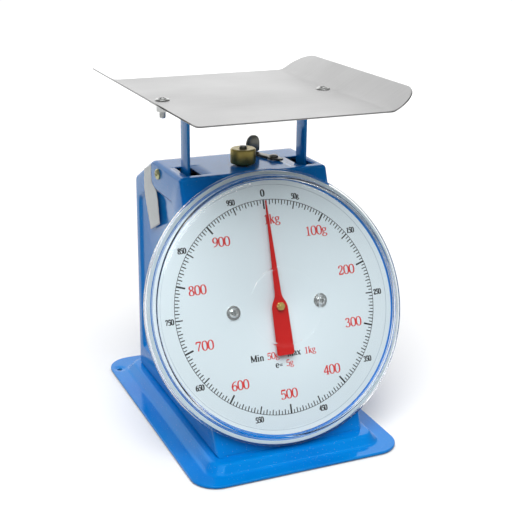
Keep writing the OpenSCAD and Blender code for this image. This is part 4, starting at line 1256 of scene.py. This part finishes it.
def knob_shape():
    """Turned brass knob: boss, undercut, fine straight knurl round the rim and a faced top; the knurl is a
    small ripple of the radius with angle, faded out at the chamfers."""
    low, high = box_mm("zero_nut")
    top, bore, radius = high[2], 3.06, (high[0] - low[0]) / 2
    seat = low[2] + 1.6
    profile = np.array([(bore, low[2]), (5.5, low[2]), (5.5, seat), (radius - 0.6, seat),
                        (radius, seat + 0.6), (radius, top - 0.9), (radius - 0.9, top), (6.2, top),
                        (5.6, top - 0.12), (4.4, top - 0.12), (3.9, top), (bore, top)])
    profile = soften(profile, 0.22, 3)
    a = np.linspace(0, 2 * pi, 480, endpoint=False)[:, None]
    r, h = profile.T
    rim = smooth_step((r - radius + 0.35) / 0.3)
    teeth, deep = 120, 0.06
    radial = r - deep * rim * (0.5 + 0.5 * np.cos(teeth * a))
    points = np.stack([radial * np.cos(a), radial * np.sin(a), h + 0 * a], -1).reshape(-1, 3)
    return placed((points, quads(len(a), len(profile), True, True)), GROUND.at(0, (low[1] + high[1]) / 2))


def bolt_shape():
    """Adjusting bolt: hexagonal head, plain shank and a threaded, chamfered end. The thread is a ripple of
    the radius with height, once for each pitch."""
    low, high = box_mm("hanger_bolt")
    radius, deep, pitch, under, thread_from = 3.0, 0.16, 1.0, 183.6, 200.0
    z = np.arange(thread_from, high[2] - 0.7, pitch / 4)
    r = radius - deep * (0.5 + 0.5 * np.cos(2 * pi * z / pitch))
    heights = np.r_[under, under, z, high[2] - 0.45, high[2], high[2] - 0.05]
    profile = np.c_[np.r_[0, 2.6, r, 2.7, 2.2, 0], heights]
    shaft = turned(profile, 48)
    head = hexagon(5.1, low[2], 184.0)
    return placed(joined(shaft, head), GROUND.at(0, (low[1] + high[1]) / 2))


def catch_arm_shape():
    """Bent strip: a centre line along the arm and up the tab, and a half width for each place on it, which
    swells at the tab and closes on a half circle at its top and at the pivot's end."""
    joint_at = np.array(joint("catch_turn")["pos_m"]) / MM
    low, high = box_mm("catch_lever")
    thick, run, width, tab, pivot_end = 1.5, 24.0, 3.0, 7.0, 4.5
    z0 = low[2]
    tall = high[2] - z0
    post = run - thick / 2
    bend = soften_path([(-9.0, thick / 2), (post, thick / 2), (post, tall)], [0, 1.6, 0], 8)
    line = divided(bend, 0.7)
    far = np.r_[0, np.cumsum(np.linalg.norm(np.diff(line, axis=0), axis=1))]
    end = far[-1]
    half = width + (tab - width) * smooth_step((line[:, 1] - thick) / 1.2 + (line[:, 0] - run + 1.6) / 0.8)
    half = np.where(line[:, 1] > thick, np.maximum(half, tab * smooth_step((line[:, 1] - thick) / 0.8)), half)
    round_top = np.sqrt(np.maximum(1 - (np.clip(far - (end - tab), 0, None) / tab) ** 2, 0))
    round_end = np.sqrt(np.maximum(1 - (np.clip(width - far, 0, None) / width) ** 2, 0))
    pivot = (line[:, 1] < thick) & (np.abs(line[:, 0]) < pivot_end)
    half = np.where(pivot, np.maximum(half, np.sqrt(np.maximum(pivot_end**2 - line[:, 0] ** 2, 0))), half)
    half = np.maximum(half * round_top * round_end, 0.25)
    along = np.gradient(line, axis=0)
    along /= np.linalg.norm(along, axis=1, keepdims=True)
    up = np.stack([-along[:, 1], along[:, 0]], 1)
    section_x, section_y = soften(rectangle(2.0, 2.0), 0.12, 2).T
    edge = np.minimum(half, 1.0)[:, None]
    across = np.sign(section_x) * (half[:, None] - edge * (1 - np.abs(section_x)))
    above = line[:, None] + up[:, None] * (section_y * thick / 2)[None, :, None]
    grid = np.stack([above[..., 0], across, above[..., 1]], -1)
    turn = radians(112)
    lever = Place((joint_at[0], joint_at[1], z0), (cos(turn), sin(turn), 0), (-sin(turn), cos(turn), 0))
    return placed(capped(grid), lever)


class DIALSCALE_OT_adjuster(bpy.types.Operator):
    """Makes the brass zero knob, its bolt and the rebound catch"""

    bl_idname = "dial_scale.adjuster"
    bl_label = "Zero knob and catch"

    def execute(self, context):
        add_piece("zero_knob_nut", knob_shape(), "zero_knob", MATERIALS["brass"], ["zero_nut"])
        add_piece("adjusting_bolt", bolt_shape(), "hanger", MATERIALS["blackened_steel"],
                  ["hanger_bolt"])
        add_piece("catch_arm", catch_arm_shape(), "catch", MATERIALS["blackened_steel"],
                  ["catch_lever"])
        low, high = box_mm("catch_shaft")
        pivot = np.array(joint("catch_turn")["pos_m"]) / MM
        seat = high[2] - 2.0
        profile = [(0, low[2]), (1.7, low[2]), (2.0, low[2] + 0.3), (2.0, seat), (3.5, seat),
                   (3.6, seat + 0.5), (3.1, seat + 1.3), (1.8, high[2] - 0.1), (0, high[2])]
        rivet = placed(turned(soften_path(profile, 0.35, 3), 48), GROUND.at(pivot[0], pivot[1]))
        add_piece("catch_rivet", rivet, "catch", MATERIALS["blackened_steel"], ["catch_shaft"])
        low, high = box_mm("catch_washer")
        ring = placed(washer(5.0, 2.3, low[2], high[2]), GROUND.at(pivot[0], pivot[1]))
        add_piece("catch_ring", ring, "stand", MATERIALS["zinc_steel"], ["catch_washer"])
        return {"FINISHED"}


def tape_shape(s):
    """Strip of tape on the left side: lines from one long edge to the other, lifted by crossed ripples."""
    half = box_mm("housing_shell")[1][0]
    one = curve_through([(64, 190), (64, 171), (50.3, 143.2)], False, 24)
    other = curve_through([(46, 198), (45, 184), (33, 177), (26.8, 154.3)], False, 16)
    t = np.linspace(0, 1, 49)
    pick = lambda line: np.stack([np.interp(t, np.linspace(0, 1, len(line)), column) for column in line.T], 1)
    one, other = pick(one), pick(other)
    share = np.linspace(0, 1, 13)[None, :, None]
    yz = one[:, None] * (1 - share) + other[:, None] * share
    lift = s["tape_ripple"] * (0.5 + 0.5 * np.sin(yz[..., 1] * 0.9 + 2.2 * np.sin(yz[..., 0] * 0.21)))
    x = -half - 0.06 - lift
    return np.concatenate([x[..., None], yz], -1).reshape(-1, 3), quads(49, 13)


class DIALSCALE_OT_tape(bpy.types.Operator):
    """Makes the strip of tape on the left side"""

    bl_idname = "dial_scale.tape"
    bl_label = "Tape"

    def execute(self, context):
        s = sizes_mm(context)
        add_piece("tape_patch", tape_shape(s), "stand", MATERIALS["tape"], ["tape_strip"], solid=0.05,
                  open_up=("along", (-1, 0, 0)))
        return {"FINISHED"}


# ---- stage ----


def area_light(name, place, aim, size, watts):
    """Rectangular softbox at a place, facing its aim, and hidden from direct view."""
    lamp = bpy.data.lights.new(name, "AREA")
    lamp.shape = "RECTANGLE"
    lamp.size, lamp.size_y = size
    lamp.energy = watts
    holder = bpy.data.objects.new(name, lamp)
    holder.location = place
    holder.rotation_euler = (Vector(aim) - Vector(place)).to_track_quat("-Z", "Y").to_euler()
    holder.visible_camera = False
    bpy.context.scene.collection.objects.link(holder)


def soft_sun(name, direction, strength, width, mirrored=True):
    """Even daylight along a direction, softened by the degrees of sky that it fills; `mirrored` lets polished
    surfaces show it."""
    lamp = bpy.data.lights.new(name, "SUN")
    lamp.energy = strength
    lamp.angle = radians(width)
    holder = bpy.data.objects.new(name, lamp)
    holder.rotation_euler = Vector(direction).to_track_quat("-Z", "Y").to_euler()
    holder.visible_glossy = mirrored
    bpy.context.scene.collection.objects.link(holder)


def floor_material():
    """Matt white floor; light that it scatters on to other things is held down, as by a small table."""
    material, tree, bright, _ = new_material("pale_floor", Roughness=0.8, Base_Color=(0.93, 0.93, 0.93, 1.0))
    dim = add_node(tree, "BsdfDiffuse", Color=(0.3, 0.3, 0.3, 1.0))
    light = add_node(tree, "LightPath")
    mix = add_node(tree, "MixShader")
    tree.links.new(light.outputs["Is Diffuse Ray"], mix.inputs["Fac"])
    tree.links.new(bright.outputs["BSDF"], mix.inputs[1])
    tree.links.new(dim.outputs["BSDF"], mix.inputs[2])
    tree.links.new(mix.outputs["Shader"], tree.nodes["Material Output"].inputs["Surface"])
    return material


class DIALSCALE_OT_stage(bpy.types.Operator):
    """Sets the floor, the soft lights, the plain surroundings and the camera"""

    bl_idname = "dial_scale.stage"
    bl_label = "Stage"

    def execute(self, context):
        scene = context.scene
        scene.view_settings.view_transform = "Standard"
        floor_mesh = bpy.data.meshes.new("floor")
        far = 2.1
        corners = [(-far, -far, 0), (far, -far, 0), (far, far, 0), (-far, far, 0)]
        floor_mesh.from_pydata(corners, [], [(0, 1, 2, 3)])
        floor = bpy.data.objects.new("floor", floor_mesh)
        scene.collection.objects.link(floor)
        floor_mesh.materials.append(floor_material())

        world = bpy.data.worlds.new("studio")
        world.use_nodes = True
        tree = world.node_tree
        sky = tree.nodes["Background"]
        sky.inputs["Color"].default_value = (1.0, 1.0, 1.0, 1.0)
        light = add_node(tree, "LightPath")
        lighting, seen = 0.24, 1.05
        tree.links.new(ranged(tree, light.outputs["Is Camera Ray"], lighting, seen), sky.inputs["Strength"])
        scene.world = world

        daylight = 0.3, 0.55, -1.0
        soft_sun("key", daylight, 2.3, 45, mirrored=False)
        soft_sun("glint", daylight, 0.6, 45)
        area_light("rear sweep", (0.2, 2.2, 1.1), (0, 0, 0.2), (4.4, 2.1), 34)
        area_light("front strip", (0.35, -1.0, 1.15), (0, -0.1, 0), (2.2, 0.02), 2.5)

        lens = bpy.data.cameras.new("view")
        lens.lens = 77.06
        lens.sensor_width = 36.0
        camera = bpy.data.objects.new("view", lens)
        stand_at = Vector((-0.31772, -0.75267, 0.40875))
        yaw, pitch, roll = radians(23.55), radians(18.91), radians(0.57)
        ahead = Vector((sin(yaw) * cos(pitch), cos(yaw) * cos(pitch), -sin(pitch)))
        right = Vector((cos(yaw), -sin(yaw), 0))
        up = right.cross(ahead)
        across = cos(roll) * right + sin(roll) * up
        above = cos(roll) * up - sin(roll) * right
        turn = Matrix((across, above, -ahead)).transposed().to_4x4()
        camera.matrix_world = Matrix.Translation(stand_at) @ turn
        scene.collection.objects.link(camera)
        scene.camera = camera
        return {"FINISHED"}


# ---- panel and registration ----

STEPS = (
    DIALSCALE_OT_materials,
    DIALSCALE_OT_base,
    DIALSCALE_OT_housing,
    DIALSCALE_OT_screws,
    DIALSCALE_OT_dial,
    DIALSCALE_OT_print,
    DIALSCALE_OT_pointer,
    DIALSCALE_OT_lens,
    DIALSCALE_OT_tray,
    DIALSCALE_OT_adjuster,
    DIALSCALE_OT_tape,
    DIALSCALE_OT_stage,
)


class DIALSCALE_PT_panel(bpy.types.Panel):
    """Lists the steps with the sizes and colours they read"""

    bl_idname = "DIALSCALE_PT_panel"
    bl_label = "Dial platform scale"
    bl_space_type = "VIEW_3D"
    bl_region_type = "UI"
    bl_category = "Scale"

    def draw(self, context):
        for step in STEPS:
            self.layout.operator(step.bl_idname)
        for group in (context.scene.dial_scale_sizes, context.scene.dial_scale_colours):
            box = self.layout.box()
            for item in group.bl_rna.properties:
                if item.identifier not in ("rna_type", "name"):
                    box.prop(group, item.identifier)


CLASSES = (DialScaleSizes, DialScaleColours, *STEPS, DIALSCALE_PT_panel)


def register():
    for item in CLASSES:
        bpy.utils.register_class(item)
    bpy.types.Scene.dial_scale_sizes = PointerProperty(type=DialScaleSizes)
    bpy.types.Scene.dial_scale_colours = PointerProperty(type=DialScaleColours)


def unregister():
    del bpy.types.Scene.dial_scale_sizes
    del bpy.types.Scene.dial_scale_colours
    for item in reversed(CLASSES):
        bpy.utils.unregister_class(item)


def main():
    register()
    for step in STEPS:
        group, name = step.bl_idname.split(".")
        getattr(getattr(bpy.ops, group), name)()
    bpy.context.view_layer.update()


if __name__ == "__main__":
    main()
